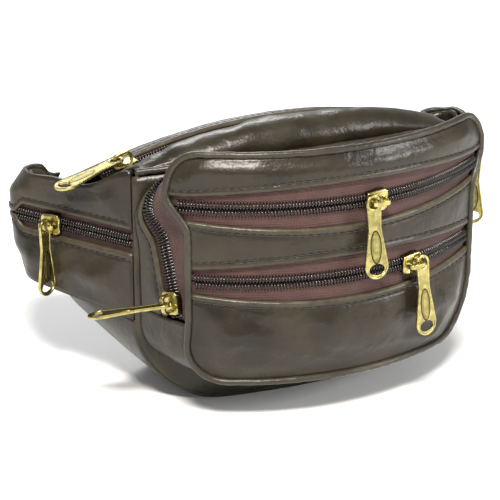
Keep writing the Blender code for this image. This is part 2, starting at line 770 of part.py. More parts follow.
def wing_zip(name, side):
    end = WING_STRAIGHT - 0.0045
    out = Vector((-WING_SIN * side, -WING_COS, 0))

    for part, up in (("top", 1), ("bottom", -1)):
        def station(t, up=up):
            along = mix(WING_ZIP_INSET, end, t)
            origin = mirrored(wing_line(along, WING_ZIP_HEIGHT, TAPE_DEPTH), side)
            return tape_section(origin, Vector((0, 0, up)), out, 0.0085)

        strip(f"{name}_wing_zip_{part}_tape", station, 1, TAPE_FINISH)


# ---------------------------------------------------------------- sliders and pulls
def slider_mesh():
    """A slider with its travel along X and Z out of the tape. Z 0 is the outer face of the tape."""
    half = SLIDER_LENGTH / 2
    inner = COIL_HALF_WIDTH + SLIDER_CLEARANCE
    outer = inner + SLIDER_PLATE
    roof = COIL_HEIGHT + SLIDER_CLEARANCE
    lid = roof + SLIDER_PLATE
    floor = -TAPE - SLIDER_CLEARANCE
    neck = ZIP_SLIT - SLIDER_CLEARANCE * 0.8
    overlap = SLIDER_PLATE * 0.4
    bar = lid + BRIDGE_RISE
    leg = BRIDGE_BAR / 2
    body = box("slider_body", (-half, -outer, roof), (half, outer, lid))
    pieces = [
        box("slider_flange_a", (-half, inner, SLIDER_CLEARANCE), (half, outer, roof + overlap)),
        box("slider_flange_b", (-half, -outer, SLIDER_CLEARANCE), (half, -inner, roof + overlap)),
        box("slider_neck", (half * 0.1, -neck, floor - overlap), (half * 0.9, neck, roof + overlap)),
        box("slider_under_plate", (-half * 0.9, -outer, floor - SLIDER_PLATE), (half * 0.9, outer, floor)),
    ]
    for name, x in (("left", -BRIDGE_LEG_OFFSET), ("right", BRIDGE_LEG_OFFSET)):
        low = (x - leg, -BRIDGE_WIDTH / 2, lid - overlap)
        pieces.append(box(f"slider_leg_{name}", low, (x + leg, BRIDGE_WIDTH / 2, bar + overlap)))
    reach = BRIDGE_LEG_OFFSET + leg
    pieces.append(
        box("slider_bridge", (-reach, -BRIDGE_WIDTH / 2, bar), (reach, BRIDGE_WIDTH / 2, bar + BRIDGE_BAR))
    )
    for piece in pieces:
        boolean(body, piece, "UNION")
    return baked(body)


def pull_mesh():
    """A teardrop pull hanging from the origin along -Y, flat in XY, with its hole around the origin."""
    top = PULL_HOLE + PULL_RIM
    bottom = -PULL_LENGTH + top
    waist = -0.30 * PULL_LENGTH
    lobe = bottom + PULL_LOBE
    outline = []
    for k in range(9):
        turn = math.pi * k / 8
        outline.append((PULL_NECK * math.cos(turn), top - PULL_NECK + PULL_NECK * math.sin(turn)))
    outline.append((-PULL_NECK * 0.86, waist))
    for k in range(9):
        turn = math.pi + math.pi * k / 8
        outline.append((PULL_LOBE * math.cos(turn), lobe + PULL_LOBE * math.sin(turn)))
    outline.append((PULL_NECK * 0.86, waist))

    def ellipse(cx, cy, rx, ry, count=12):
        return [
            (cx + rx * math.cos(2 * math.pi * k / count), cy + ry * math.sin(2 * math.pi * k / count))
            for k in range(count)
        ]

    hole = ellipse(0, 0, PULL_HOLE, PULL_HOLE)
    window = ellipse(0, lobe - PULL_LOBE * 0.30, PULL_LOBE * 0.55, PULL_LOBE * 0.34)
    curve = bpy.data.curves.new("pull_outline", "CURVE")
    curve.dimensions = "2D"
    curve.fill_mode = "BOTH"
    curve.extrude = PULL_THICKNESS / 2
    for points in (outline, hole, window):
        spline = curve.splines.new("POLY")
        spline.points.add(len(points) - 1)
        for spot, place in zip(spline.points, points):
            spot.co = (*place, 0.0, 1.0)
        spline.use_cyclic_u = True
    helper = bpy.data.objects.new("pull_outline", curve)
    CUTTERS.objects.link(helper)
    mesh = baked(helper)
    bpy.data.objects.remove(helper)
    return mesh


def placed(name, mesh, origin, x, z):
    """An object of a shared mesh, with its X along x and its Z along z."""
    obj = add_mesh(name, mesh.copy(), BRASS_FINISH)
    x = x.normalized()
    z = (z - x * z.dot(x)).normalized()
    obj.matrix_world = Matrix.Translation(origin) @ Matrix((x, z.cross(x), z)).transposed().to_4x4()
    return obj


def build_sliders():
    slider_shape, pull_shape = slider_mesh(), pull_mesh()
    lid = COIL_HEIGHT + SLIDER_CLEARANCE + SLIDER_PLATE
    down = Vector((0, 0, -1))

    def flat_pull(slider, along, out, leg, hang):
        """A pull threaded on one leg of the bridge. It lies nearly flat, and turns about the leg."""
        centre = slider.location + along * (leg * BRIDGE_LEG_OFFSET) + out * (lid + BRIDGE_RISE * 0.60)
        across = out.cross(hang)
        tilt = Matrix.Rotation(-PULL_TILT, 3, across)
        pull = placed(slider.name.replace("slider", "pull"), pull_shape, centre, across, tilt @ out)
        return hang_on(pull, slider)

    def edge_pull(slider, along, out, hang):
        """A pull threaded on the bridge's bar. Its plate stands across the zip, and turns about the bar."""
        centre = slider.location + out * (lid + BRIDGE_RISE + BRIDGE_BAR / 2)
        pull = placed(slider.name.replace("slider", "pull"), pull_shape, centre, along.cross(hang), along)
        return hang_on(pull, slider)

    face_axis = Vector((0, FACE_Y + PANEL_RADIUS, 0))
    parked = (("upper", UPPER_ZIP, UPPER_REST, -1), ("lower", LOWER_ZIP, LOWER_REST, 1))
    for name, height, rest, leg in parked:
        out = face_normal(rest)
        along = Vector((-out.y, out.x, 0))
        slider = placed(f"{name}_slider", slider_shape, on_face(rest, height, TAPE_DEPTH), along, out)
        hang_on(slider, pivot(f"{name}_slider_pivot", face_axis + Vector((0, 0, height))))
        flat_pull(slider, along, out, leg, down)

    x = -(main_zip_reach() - SLIDER_LENGTH)
    tilt = math.asin(x / TOP_ARC_RADIUS)
    out = Vector((math.sin(tilt), 0, math.cos(tilt)))
    along = Vector((math.cos(tilt), 0, -math.sin(tilt)))
    slider = placed("main_slider", slider_shape, Vector((x, MAIN_ZIP_Y, top_arc(x))), along, out)
    hang_on(slider, pivot("main_slider_pivot", (0, MAIN_ZIP_Y, TOP_ARC_HEIGHT - TOP_ARC_RADIUS)))
    flat_pull(slider, along, out, -1, Matrix.Rotation(MAIN_PULL_TURN, 3, out) @ -along)

    mark = low_mark() + 0.13
    origin = gusset(mark, zip_share(mark), POUCH_TAPE_DEPTH)
    ahead = mark + 0.35
    along = (gusset(ahead, zip_share(ahead), POUCH_TAPE_DEPTH) - origin).normalized()
    out = gusset_normal(mark, zip_share(mark))
    slider = placed("pouch_slider", slider_shape, origin, along, out)
    edge_pull(slider, along, out, Matrix.Rotation(POUCH_PULL_TURN, 3, along) @ out)

    for name, side in (("left_wing", 1), ("right_wing", -1)):
        origin = mirrored(wing_line(WING_SLIDER_REST, WING_ZIP_HEIGHT, TAPE_DEPTH), side)
        out = Vector((-WING_SIN * side, -WING_COS, 0))
        along = Vector((WING_COS * side, -WING_SIN, 0))
        slider = placed(f"{name}_slider", slider_shape, origin, along, out)
        edge_pull(slider, along, out, down)


# ---------------------------------------------------------------- belt
def belt_y():
    """Middle of the webbing's thickness, between the two layers of the wing's end."""
    outer = wing_line(WING_LENGTH, BELT_HEIGHT).y
    return outer - WING_END_THICKNESS / 2 - (LEATHER - LINING) / 2


LAYER_FRONT = belt_y()                                  # middle of the webbing's front layer
LAYER_REAR = LAYER_FRONT + LOOP_GAP + WEBBING           # and of the layer that comes back from the buckle
BUCKLE_Y = (LAYER_FRONT + LAYER_REAR) / 2
BELT_LOW = BELT_HEIGHT - WEBBING_WIDTH / 2
BELT_HIGH = BELT_HEIGHT + WEBBING_WIDTH / 2
SOCKET_END = BUCKLE_MOUTH - SOCKET_LENGTH - STRAP_SLOT - STRAP_BAR
PLUG_START = BUCKLE_MOUTH + BUCKLE_GAP
PLUG_BAR = PLUG_START + 0.0100
BUCKLE_HALF = WEBBING_WIDTH / 2 + BUCKLE_RIM
CAVITY_HALF = BUCKLE_HALF - BUCKLE_WALL * 1.6
CAVITY_DEPTH = BUCKLE_THICKNESS / 2 - BUCKLE_WALL
CAVITY_END = BUCKLE_MOUTH - SOCKET_LENGTH + BUCKLE_WALL
WINDOW_START = CAVITY_END + 0.006
WINDOW_END = WINDOW_START + PRONG_LENGTH * 0.42
TONGUE_HALF = 0.0035  # half the width of the plug's guide between its prongs
BEYOND = 0.010  # how far a cutter runs past what it cuts
BITE = 0.001  # how far joined shapes run into each other
SEWN = abs(wing_line(WING_LENGTH, BELT_HEIGHT).x) + WING_TAIL * 0.75
BUCKLE_OUT = BUCKLE_THICKNESS                           # enough to pass any face of the buckle


def looped_webbing(name, bar, back_to, side):
    """From the wing's end to a half turn round a bar of the buckle, and back along the rear layer."""
    bar -= side * 0.0007
    reach = (LAYER_REAR - LAYER_FRONT + WEBBING) / 2

    def point(u, v):
        run, z = 1 - u if side > 0 else u, mix(BELT_LOW, BELT_HIGH, v)
        if run < 0.3:
            return Vector((mix(side * SEWN, bar, run / 0.3), LAYER_FRONT - WEBBING / 2, z))
        if run < 0.7:
            turn = math.pi * (run - 0.3) / 0.4
            return Vector((bar - side * reach * math.sin(turn), BUCKLE_Y - reach * math.cos(turn), z))
        return Vector((mix(bar, back_to, (run - 0.7) / 0.3), LAYER_REAR + WEBBING / 2, z))

    return sheet(name, point, 20, 1, WEBBING, WEBBING_FINISH)


def buckle_box(name, x, half_depth, half_height, finish=None):
    low = (x[0], BUCKLE_Y - half_depth, BELT_HEIGHT - half_height)
    high = (x[1], BUCKLE_Y + half_depth, BELT_HEIGHT + half_height)
    if finish:
        return box(name, low, high, finish, PACK)
    return box(name, low, high)


def strap_way(obj, name, slots, thinned):
    """Cuts slots for webbing through the buckle, and thins the bar between the two x of thinned for it."""
    strap = WEBBING_WIDTH / 2 + BITE
    for k, (a, b) in enumerate(slots):
        boolean(obj, buckle_box(f"{name}_slot_{k}", (a, b), BUCKLE_OUT, strap), "DIFFERENCE")
    bar = LOOP_GAP / 2 - TOUCH_GAP
    for place, side in (("front", -1), ("rear", 1)):
        ys = sorted((BUCKLE_Y + side * bar, BUCKLE_Y + side * BUCKLE_OUT))
        low = (thinned[0], ys[0], BELT_HEIGHT - strap)
        cutter = box(f"{name}_{place}_trim", low, (thinned[1], ys[1], BELT_HEIGHT + strap))
        boolean(obj, cutter, "DIFFERENCE")


def build_buckle():
    half_depth = BUCKLE_THICKNESS / 2
    length = (SOCKET_END, BUCKLE_MOUTH)
    socket = buckle_box("buckle_socket", length, half_depth, BUCKLE_HALF, PLASTIC_FINISH)
    length = (CAVITY_END, BUCKLE_MOUTH + BEYOND)
    cavity = buckle_box("socket_cavity", length, CAVITY_DEPTH, CAVITY_HALF)
    boolean(socket, cavity, "DIFFERENCE")
    slot = SOCKET_END + STRAP_BAR
    strap_way(socket, "socket", [(slot, slot + STRAP_SLOT)], (SOCKET_END - BEYOND, slot + BITE))
    length = (WINDOW_START, WINDOW_END)
    windows = buckle_box("socket_windows", length, CAVITY_DEPTH * 0.8, BUCKLE_HALF + BEYOND)
    boolean(socket, windows, "DIFFERENCE")
    hang_on(socket, pivot("buckle_socket_pivot", (BUCKLE_MOUTH, BUCKLE_Y, BELT_HEIGHT)))

    length = (PLUG_START, PLUG_START + PLUG_BASE)
    plug = buckle_box("buckle_plug", length, half_depth, BUCKLE_HALF, PLASTIC_FINISH)
    inner, outer = PLUG_START + 0.0035, PLUG_START + PLUG_BASE - 0.0030
    slots = [(inner, PLUG_BAR - STRAP_BAR / 2), (PLUG_BAR + STRAP_BAR / 2, outer)]
    strap_way(plug, "plug", slots, (inner + BITE, outer - BITE))
    reach = LAYER_REAR - BUCKLE_Y + WEBBING / 2 + TOUCH_GAP * 2
    length = (outer - BITE, outer + BEYOND)
    leave = buckle_box("plug_strap_way", length, reach, WEBBING_WIDTH / 2 + BITE)
    boolean(plug, leave, "DIFFERENCE")
    tongue_depth = CAVITY_DEPTH - TOUCH_GAP * 2
    length = (PLUG_START - PRONG_LENGTH * 0.7, PLUG_START + BITE)
    tongue = buckle_box("plug_tongue", length, tongue_depth * 0.6, TONGUE_HALF)
    boolean(plug, tongue, "UNION")

    tip, edge = PLUG_START - PRONG_LENGTH, CAVITY_HALF - 0.0012
    for name, up in (("upper", 1), ("lower", -1)):
        depth = tongue_depth * 0.75
        zs = sorted((BELT_HEIGHT + up * (edge - PRONG_WIDTH), BELT_HEIGHT + up * edge))
        low, high = (tip, BUCKLE_Y - depth, zs[0]), (PLUG_START - TOUCH_GAP, BUCKLE_Y + depth, zs[1])
        prong = box(f"buckle_{name}_prong", low, high, PLASTIC_FINISH, PACK)
        zs = sorted((BELT_HEIGHT + up * (edge - 0.0005), BELT_HEIGHT + up * (edge + BARB)))
        depth = tongue_depth * 0.70
        low = (tip + BITE, BUCKLE_Y - depth, zs[0])
        high = (WINDOW_END - TOUCH_GAP * 2, BUCKLE_Y + depth, zs[1])
        boolean(prong, box(f"barb_{name}", low, high), "UNION")
        root = (PLUG_START - TOUCH_GAP, BUCKLE_Y, BELT_HEIGHT + up * (edge - PRONG_WIDTH / 2))
        hang_on(prong, pivot(f"buckle_{name}_prong_pivot", root))


def build_hank():
    """The belt's spare length, folded flat, and the elastic that holds it against the front layer."""
    low_y = LAYER_REAR - WEBBING / 2
    high_y = low_y + HANK_LAYERS * WEBBING
    low, high = (HANK_START, low_y, BELT_LOW), (HANK_END, high_y, BELT_HIGH)
    hank = box("webbing_hank", low, high, WEBBING_FINISH, PACK)
    folds = hank.modifiers.new("folds", "BEVEL")
    folds.width = WEBBING * 1.2
    folds.segments = 2

    middle, gap = (HANK_START + HANK_END) / 2, TOUCH_GAP
    low = Vector((middle - KEEPER_WIDTH / 2, LAYER_FRONT - WEBBING / 2 - gap, BELT_LOW - gap))
    high = Vector((middle + KEEPER_WIDTH / 2, high_y + gap, BELT_HIGH + gap))
    wall, past = Vector((0, KEEPER, KEEPER)), Vector((KEEPER_WIDTH, 0, 0))
    keeper = box("elastic_keeper", low - wall, high + wall, WEBBING_FINISH, PACK)
    boolean(keeper, box("keeper_way", low - past, high + past), "DIFFERENCE")


def build_belt():
    looped_webbing("right_webbing", PLUG_BAR, HANK_START - 0.0015, 1)
    looped_webbing("left_webbing", SOCKET_END + STRAP_BAR / 2, SOCKET_END - 0.026, -1)
    build_buckle()
    build_hank()


# ---------------------------------------------------------------- the pack
build_main()
build_pouch()
build_wing("left", 1)
build_wing("right", -1)
face_zip("upper", UPPER_ZIP)
face_zip("lower", LOWER_ZIP)
main_zip()
pouch_zip()
wing_zip("left", 1)
wing_zip("right", -1)
build_sliders()
build_belt()
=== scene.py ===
# %% [markdown]
# A leather waist pack, built round its imported model: a half-moon compartment, a boxed pouch with two
# zipped pockets, a zipped wing at each side and a webbing belt behind. The imported model gives every
# place, so the first cell loads it, with a helper that reads a node's box.

# %% Load the frame
import math

import bmesh
import bpy
from mathutils import Matrix, Vector, noise


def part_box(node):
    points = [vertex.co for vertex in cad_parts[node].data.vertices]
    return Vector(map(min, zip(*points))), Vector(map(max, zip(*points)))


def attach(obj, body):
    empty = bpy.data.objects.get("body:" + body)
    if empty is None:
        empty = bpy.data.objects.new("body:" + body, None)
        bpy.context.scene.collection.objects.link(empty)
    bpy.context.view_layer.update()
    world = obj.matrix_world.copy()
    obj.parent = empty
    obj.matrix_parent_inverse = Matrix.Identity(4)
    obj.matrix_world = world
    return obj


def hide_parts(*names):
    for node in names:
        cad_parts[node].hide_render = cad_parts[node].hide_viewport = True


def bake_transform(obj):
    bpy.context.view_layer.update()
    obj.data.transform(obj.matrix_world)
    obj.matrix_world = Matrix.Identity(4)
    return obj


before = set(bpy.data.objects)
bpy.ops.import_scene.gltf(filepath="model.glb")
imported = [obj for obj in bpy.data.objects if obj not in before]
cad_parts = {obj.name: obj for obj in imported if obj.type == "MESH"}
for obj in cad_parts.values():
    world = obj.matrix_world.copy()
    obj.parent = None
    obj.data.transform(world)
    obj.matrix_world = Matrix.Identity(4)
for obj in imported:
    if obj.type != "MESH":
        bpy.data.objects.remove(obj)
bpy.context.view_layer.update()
print("the packed model has", len(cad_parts), "nodes")

# %% [markdown]
# The camera stands well off and looks down a little from the front left, with a long lens, so the
# pack's sides barely converge. Its aim keeps the lens free of any shift.

# %% Camera
EYE = Vector((-0.3146, -0.6632, 0.3490))
VIEW = Vector((0.3787, 0.8464, -0.3747))


def linked(name, data):
    """A new object with this data, linked to the scene."""
    made = bpy.data.objects.new(name, data)
    bpy.context.scene.collection.objects.link(made)
    return made


camera = linked("camera", bpy.data.cameras.new("camera"))
camera.data.sensor_width = 36.0
camera.data.lens = 131.9
camera.location = EYE
camera.rotation_euler = VIEW.to_track_quat("-Z", "Y").to_euler()
bpy.context.scene.camera = camera
print("lens", camera.data.lens, "mm")

# %% [markdown]
# The pack stands on a pale sheet that curves up behind it, as in a small studio. A lamp hung above and
# in front of it, a little to the left, makes the highlights that finished leather shows. A weaker one
# fills the right, one behind lights the top and the sheet, and a pale world keeps the shadows open.
# The Standard view shows an sRGB colour as it is, so a finish can be matched by its hex value.

# %% Floor and light
FLOOR_HALF = 3.0
BACKDROP_START = 1.2  # behind the pack, where the sheet starts to curve up
BACKDROP_RADIUS = 0.8
AIM = (0.0, 0.0, 0.06)  # the middle of the pack


def colour(code):
    """An sRGB hex colour as linear RGBA."""
    shares = [int(code[k:k + 2], 16) / 255 for k in (0, 2, 4)]
    linear = [c / 12.92 if c <= 0.04045 else ((c + 0.055) / 1.055) ** 2.4 for c in shares]
    return (*linear, 1.0)


def add(tree, kind, links=None, **settings):
    """Adds a node with its settings, and gives its inputs values or links from other nodes."""
    made = tree.nodes.new(kind)
    for name, value in settings.items():
        setattr(made, name, value)
    for key, value in (links or {}).items():
        if isinstance(value, bpy.types.NodeSocket):
            tree.links.new(value, made.inputs[key])
        else:
            made.inputs[key].default_value = value
    return made


def material(name):
    """A new material's (material, tree, shader), with nothing in it but its shader and output."""
    made = bpy.data.materials.new(name)
    made.use_nodes = True
    return made, made.node_tree, made.node_tree.nodes["Principled BSDF"]


def mesh_object(name, mesh, finish):
    """A piece from a mesh, smooth shaded, with one material."""
    mesh.materials.clear()
    mesh.materials.append(finish)
    mesh.polygons.foreach_set("use_smooth", [True] * len(mesh.polygons))
    return linked(name, mesh)


def lamp(name, place, size, watts, aim=AIM, tint="ffffff"):
    light = bpy.data.lights.new(name, "AREA")
    light.shape = "RECTANGLE"
    light.size, light.size_y = size
    light.energy = watts
    light.color = colour(tint)[:3]
    obj = linked(name, light)
    obj.location = place
    obj.rotation_euler = (Vector(aim) - Vector(place)).to_track_quat("-Z", "Y").to_euler()


paper, tree, shader = material("studio_paper")
shader.inputs["Base Color"].default_value = colour("f4f4f3")
shader.inputs["Roughness"].default_value = 0.9
sheet = bpy.data.meshes.new("floor")
profile = [(-FLOOR_HALF, 0.0), (BACKDROP_START, 0.0)]
for degrees in range(9, 91, 9):
    run, rise = math.sin(math.radians(degrees)), 1 - math.cos(math.radians(degrees))
    profile.append((BACKDROP_START + BACKDROP_RADIUS * run, BACKDROP_RADIUS * rise))
profile.append((BACKDROP_START + BACKDROP_RADIUS, FLOOR_HALF))
corners = [(x, y, z) for y, z in profile for x in (-FLOOR_HALF, FLOOR_HALF)]
strips = [(2 * k, 2 * k + 1, 2 * k + 3, 2 * k + 2) for k in range(len(profile) - 1)]
sheet.from_pydata(corners, [], strips)
floor = mesh_object("floor", sheet, paper)

world = bpy.data.worlds.new("studio")
bpy.context.scene.world = world
bpy.context.scene.view_settings.view_transform = "Standard"
world.use_nodes = True
sky = world.node_tree.nodes["Background"].inputs
sky["Color"].default_value = colour("f3f5f8")
sky["Strength"].default_value = 0.42
lamp("key_light", (-0.30, -0.66, 0.98), size=(0.30, 0.16), watts=22.0, tint="fffaf2")
lamp("right_light", (0.75, -0.75, 0.45), size=(0.22, 0.34), watts=7.0, aim=(0.03, -0.05, 0.06))
lamp("back_light", (0.2, 0.9, 0.8), size=(0.6, 0.4), watts=9.0)

# %% [markdown]
# The leather is corrected-grain cowhide: an olive-brown pigment coat over a pebbled grain, so it is
# smooth to semi-gloss, with pebbles under a millimetre across, soft creases where it is stuffed, and a
# paler colour along folded edges, partly rubbed wear and partly a painted highlight where an edge
# catches the light. The pebbles are drawn about twice as coarse as real ones, or a picture at arm's
# length couldn't show them. Each panel carries an attribute for this, which is 1 at a folded edge and
# falls to 0 a few millimetres in.

# %% Leather
def speckle(tree, place, size_mm, detail, distortion=0.0):
    """Noise with features about this many millimetres across, from 0 to 1."""
    made = add(tree, "ShaderNodeTexNoise", {"Vector": place, "Scale": 1000 / size_mm, "Detail": detail,
                                            "Distortion": distortion})
    return made.outputs["Fac"]


def two_tones(tree, share, low, high, start, end):
    """A colour that goes from low to high as the share goes from start to end."""
    made = add(tree, "ShaderNodeValToRGB", {"Fac": share})
    for stop, code, place in zip(made.color_ramp.elements, (low, high), (start, end)):
        stop.position, stop.color = place, colour(code)
    return made.outputs["Color"]


def blended(tree, share, first, second):
    # A Mix node holds a set of sockets for each kind of data: 6 and 7 are its two colours.
    made = add(tree, "ShaderNodeMix", {0: share, 6: first, 7: colour(second)}, data_type="RGBA")
    return made.outputs[2]


def relief_bump(tree, height, strength, depth_mm, **more):
    return add(tree, "ShaderNodeBump", {"Height": height, "Strength": strength,
                                        "Distance": depth_mm / 1000}, **more)


def ranged(tree, value, low, high, **more):
    made = add(tree, "ShaderNodeMapRange", {"Value": value, "To Min": low, "To Max": high, **more})
    return made.outputs["Result"]


def finish_shader(tree, shader, **links):
    """Links sockets to the shader's inputs, which are named with _ for a space."""
    for label, socket in links.items():
        tree.links.new(socket, shader.inputs[label.replace("_", " ")])


def leather(name, dark, mid, worn_and_highlit_tone, gloss, pebble_mm=1.1):
    made, tree, shader = material(name)
    place = add(tree, "ShaderNodeTexCoord").outputs["Object"]
    patches = speckle(tree, place, 22, 4.0)
    # Paler along folded edges: partly rubbed wear and partly a painted highlight where an edge catches the
    # light.
    rub = add(tree, "ShaderNodeAttribute", attribute_name="rub").outputs["Fac"]
    rubbed = add(tree, "ShaderNodeMath", {0: rub, 1: speckle(tree, place, 3.5, 3.0)}, operation="MULTIPLY")
    skin = blended(tree, rubbed.outputs[0], two_tones(tree, patches, dark, mid, 0.32, 0.70), worn_and_highlit_tone)
    wrinkled = relief_bump(tree, speckle(tree, place, 11, 5.0, 0.9), 0.55, 1.1)
    pebbles = add(tree, "ShaderNodeTexVoronoi", {"Vector": place, "Scale": 1000 / pebble_mm},
                  feature="SMOOTH_F1")
    pebbled = relief_bump(tree, pebbles.outputs["Distance"], 0.32, 0.22, invert=True)
    tree.links.new(wrinkled.outputs["Normal"], pebbled.inputs["Normal"])
    finish_shader(tree, shader, Base_Color=skin, Normal=pebbled.outputs["Normal"],
                  Roughness=ranged(tree, patches, gloss - 0.07, gloss + 0.09))
    shader.inputs["IOR"].default_value = 1.50
    shader.inputs["Specular IOR Level"].default_value = 0.34
    return made


cowhide = leather("cowhide", "1c180f", "312b1f", "5f5747", 0.33)
piping_hide = leather("piping_hide", "29251d", "3c372d", "6c6455", 0.34, 0.9)
print("leathers:", cowhide.name, piping_hide.name)

# %% [markdown]
# The cloth parts are woven or knitted. One builder makes them all: two crossed wave patterns for the
# warp and the weft, at a thread spacing in millimetres, and a little unevenness in the dye. The colour
# is darker where the weave is low, which is painted shade between the threads. The zip tape is maroon
# polyester, the lining black nylon, and the belt black polypropylene webbing.

# %% Cloth
def cloth(name, dark, light, across_mm, along_mm, depth_mm, rough, fuzz=0.0, plane="XZ"):
    made, tree, shader = material(name)
    place = add(tree, "ShaderNodeTexCoord").outputs["Object"]
    parts = add(tree, "ShaderNodeSeparateXYZ", {"Vector": place})
    crossed = []
    for axis, spacing in zip(plane, (across_mm, along_mm)):
        turns = add(tree, "ShaderNodeMath", {0: parts.outputs[axis], 1: 2000 * math.pi / spacing},
                    operation="MULTIPLY")
        wave = add(tree, "ShaderNodeMath", {0: turns.outputs[0]}, operation="SINE")
        crossed.append(wave.outputs[0])
    woven = add(tree, "ShaderNodeMath", {0: crossed[0], 1: crossed[1]}, operation="MULTIPLY")
    raised = ranged(tree, woven.outputs[0], 0.0, 1.0, **{"From Min": -1.0})
    # Colour darker in the weave's hollows: painted shade between the threads, times real unevenness in the
    # dye.
    dye_and_weave_shade = add(tree, "ShaderNodeMath", {0: raised, 1: speckle(tree, place, 6, 5.0)}, operation="MULTIPLY")
    finish_shader(tree, shader, Base_Color=two_tones(tree, dye_and_weave_shade.outputs[0], dark, light, 0.0, 0.62),
                  Normal=relief_bump(tree, raised, 0.7, depth_mm).outputs["Normal"])
    shader.inputs["Roughness"].default_value = rough
    shader.inputs["Sheen Weight"].default_value = fuzz
    return made


zip_cloth = cloth("polyester_zip_tape", "2e1a17", "573731", 1.3, 1.0, 0.12, 0.78, 0.10)
lining_cloth = cloth("nylon_lining", "191817", "2b2927", 0.9, 0.9, 0.08, 0.6)
foam_cloth = cloth("foam_backing_knit", "26241f", "3a3732", 1.4, 1.4, 0.15, 0.9, 0.3)
webbing_cloth = cloth("polypropylene_webbing", "0e0e0f", "2a2a2c", 2.2, 1.5, 0.30, 0.55, 0.1)
elastic_cloth = cloth("knitted_elastic", "101011", "2c2c2e", 1.1, 2.0, 0.25, 0.75, 0.2)
print("cloths:", zip_cloth.name, lining_cloth.name, webbing_cloth.name)

# %% [markdown]
# The hard parts: brass-plated zinc, tumbled so that its edges stay bright and its hollows go brown;
# the nylon monofilament of the coil, black and glossy as extruded; bonded polyester sewing thread; and
# the acetal of the buckle, moulded against a finely textured steel tool.

# %% Metal, nylon, thread and acetal
def hard(name, base, other, metal, rough, spot_mm, bump_mm, ior=1.5, sunk=None):
    made, tree, shader = material(name)
    place = add(tree, "ShaderNodeTexCoord").outputs["Object"]
    spots = speckle(tree, place, spot_mm, 6.0)
    skin = two_tones(tree, spots, other, base, 0.36, 0.62)
    if sunk:
        hollow = add(tree, "ShaderNodeAttribute", attribute_name="sunk").outputs["Fac"]
        skin = blended(tree, hollow, skin, sunk)
    finish_shader(tree, shader, Base_Color=skin, Roughness=ranged(tree, spots, rough + 0.12, rough - 0.08),
                  Normal=relief_bump(tree, spots, 0.35, bump_mm).outputs["Normal"])
    shader.inputs["Metallic"].default_value = metal
    if not metal:
        shader.inputs["IOR"].default_value = ior
    return made


brass = hard("tumbled_brass_plate", "bfb375", "988d57", 1.0, 0.27, 2.6, 0.02, sunk="453d1f")
coil_nylon = hard("nylon_monofilament", "1c1918", "0a0909", 0.0, 0.20, 0.8, 0.02, 1.58)
thread = hard("bonded_polyester_thread", "1f1b16", "120f0c", 0.0, 0.55, 0.5, 0.05)
acetal = hard("moulded_acetal", "1b1b1d", "121213", 0.0, 0.42, 0.6, 0.03, 1.48)
print("hard finishes:", brass.name, coil_nylon.name, thread.name, acetal.name)

# %% [markdown]
# A sewn bag is a set of flat panels bent along simple curves, so each panel is a short formula. The
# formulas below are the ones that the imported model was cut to: the pouch's face is a piece of a
# cylinder, its side wall runs from the face's outline to the seam on the main panel, and each wing
# runs straight back and then folds round behind the pack. All sizes are in metres.

# %% Sizes of the pack
LEATHER = 0.0018  # outer panels, leather with its backing
LINING = 0.0010  # inner divider and the wing backs
SEAM_GAP = 0.0005  # air left between neighbouring panels
TOUCH_GAP = 0.0003  # air between pieces that lie on each other
MAIN_DEPTH = 0.052  # main compartment, front to back on the centre line
MAIN_HALF_WIDTH = 0.076  # main front panel, to its side seams
MAIN_BOW = 0.012  # how far the main front panel's sides lie behind its middle
FRONT_CORNER = (0.036, 0.038, 2.0)  # run, rise and fullness of the lower corners at the front
BACK_CORNER = (0.052, 0.0445, 1.35)  # and at the back, where they are cut away more
MAIN_TOP = 0.1055  # height of the front seam of the top on the centre line
MAIN_TOP_DROP = 0.003  # how much lower that seam is at the sides
TOP_ARC_RADIUS = 0.235  # crown of the top, along which the main zip runs
TOP_ARC_HEIGHT = 0.108  # height of the main zip's tape on the centre line
TOP_CROWN = 0.0030  # how far the stuffed top bulges between its seams
POUCH_DEPTH = 0.038  # front pouch, from the main front panel to its own face on the centre line
POUCH_HALF_WIDTH = 0.0685  # along the curved face, up to the flare
POUCH_FLARE = 0.009  # how much wider the two upper corners are
POUCH_BOTTOM = 0.020
POUCH_HEIGHT = 0.098
POUCH_TOP_CORNER = 0.016
POUCH_BOTTOM_CORNER = 0.018
PANEL_RADIUS = 0.110  # the pouch's face is a cylinder of this radius, curved in plan
POUCH_ROOT_SPREAD = 0.0060  # how much wider the pouch is where it joins the main compartment
POUCH_ROOT_FLARE = 0.0012
ROOT_BELOW_SEAM = 0.0042  # the pouch's top seam, under the main panel's own piping
FACE_LEAN = 0.0035  # of the pouch's face, back towards its top edge
FACE_TUCK = 0.0055  # and under towards its bottom edge
PIPING_RADIUS = 0.0014
COIL_HALF_WIDTH = 0.0031  # one row of coil, out from the middle of the zip
COIL_HEIGHT = 0.0019
TAPE = 0.0008
TAPE_HALF_WIDTH = 0.0115
MAIN_TAPE_HALF_WIDTH = 0.0080
ZIP_SLIT = 0.0005  # half the slit between the two rows, in which a slider's neck runs
UPPER_ZIP_DROP = 0.0220  # below the pouch's top edge
ZIP_SPACING = 0.031  # from the upper zip of the face down to the lower one
SLOT_END = 0.0050  # half the height of a face zip's slot at its ends
SLOT_GAPE = 0.0040  # added in the middle, where the stuffed pouch pulls it open
WING_ANGLE = 57.0  # degrees back from the pack's width
WING_STRAIGHT = 0.060  # from its seam to its fold, at the height of its zip
WING_FOLD_RADIUS = 0.0090
WING_FOLD_LEAN = 0.35  # the fold starts this much nearer the seam for each metre lower
WING_FOLD_CURVE = 34.0  # and rounds off above the zip
WING_FOLD_END = 180.0  # after the fold the wing lies along the pack's width again
WING_END_MARGIN = 0.0065  # of the wing's end above and below the webbing
WING_TAIL = 0.013  # from the fold to the end, into which the webbing is sewn
WING_THICKNESS = 0.0070
WING_END_THICKNESS = 0.0066
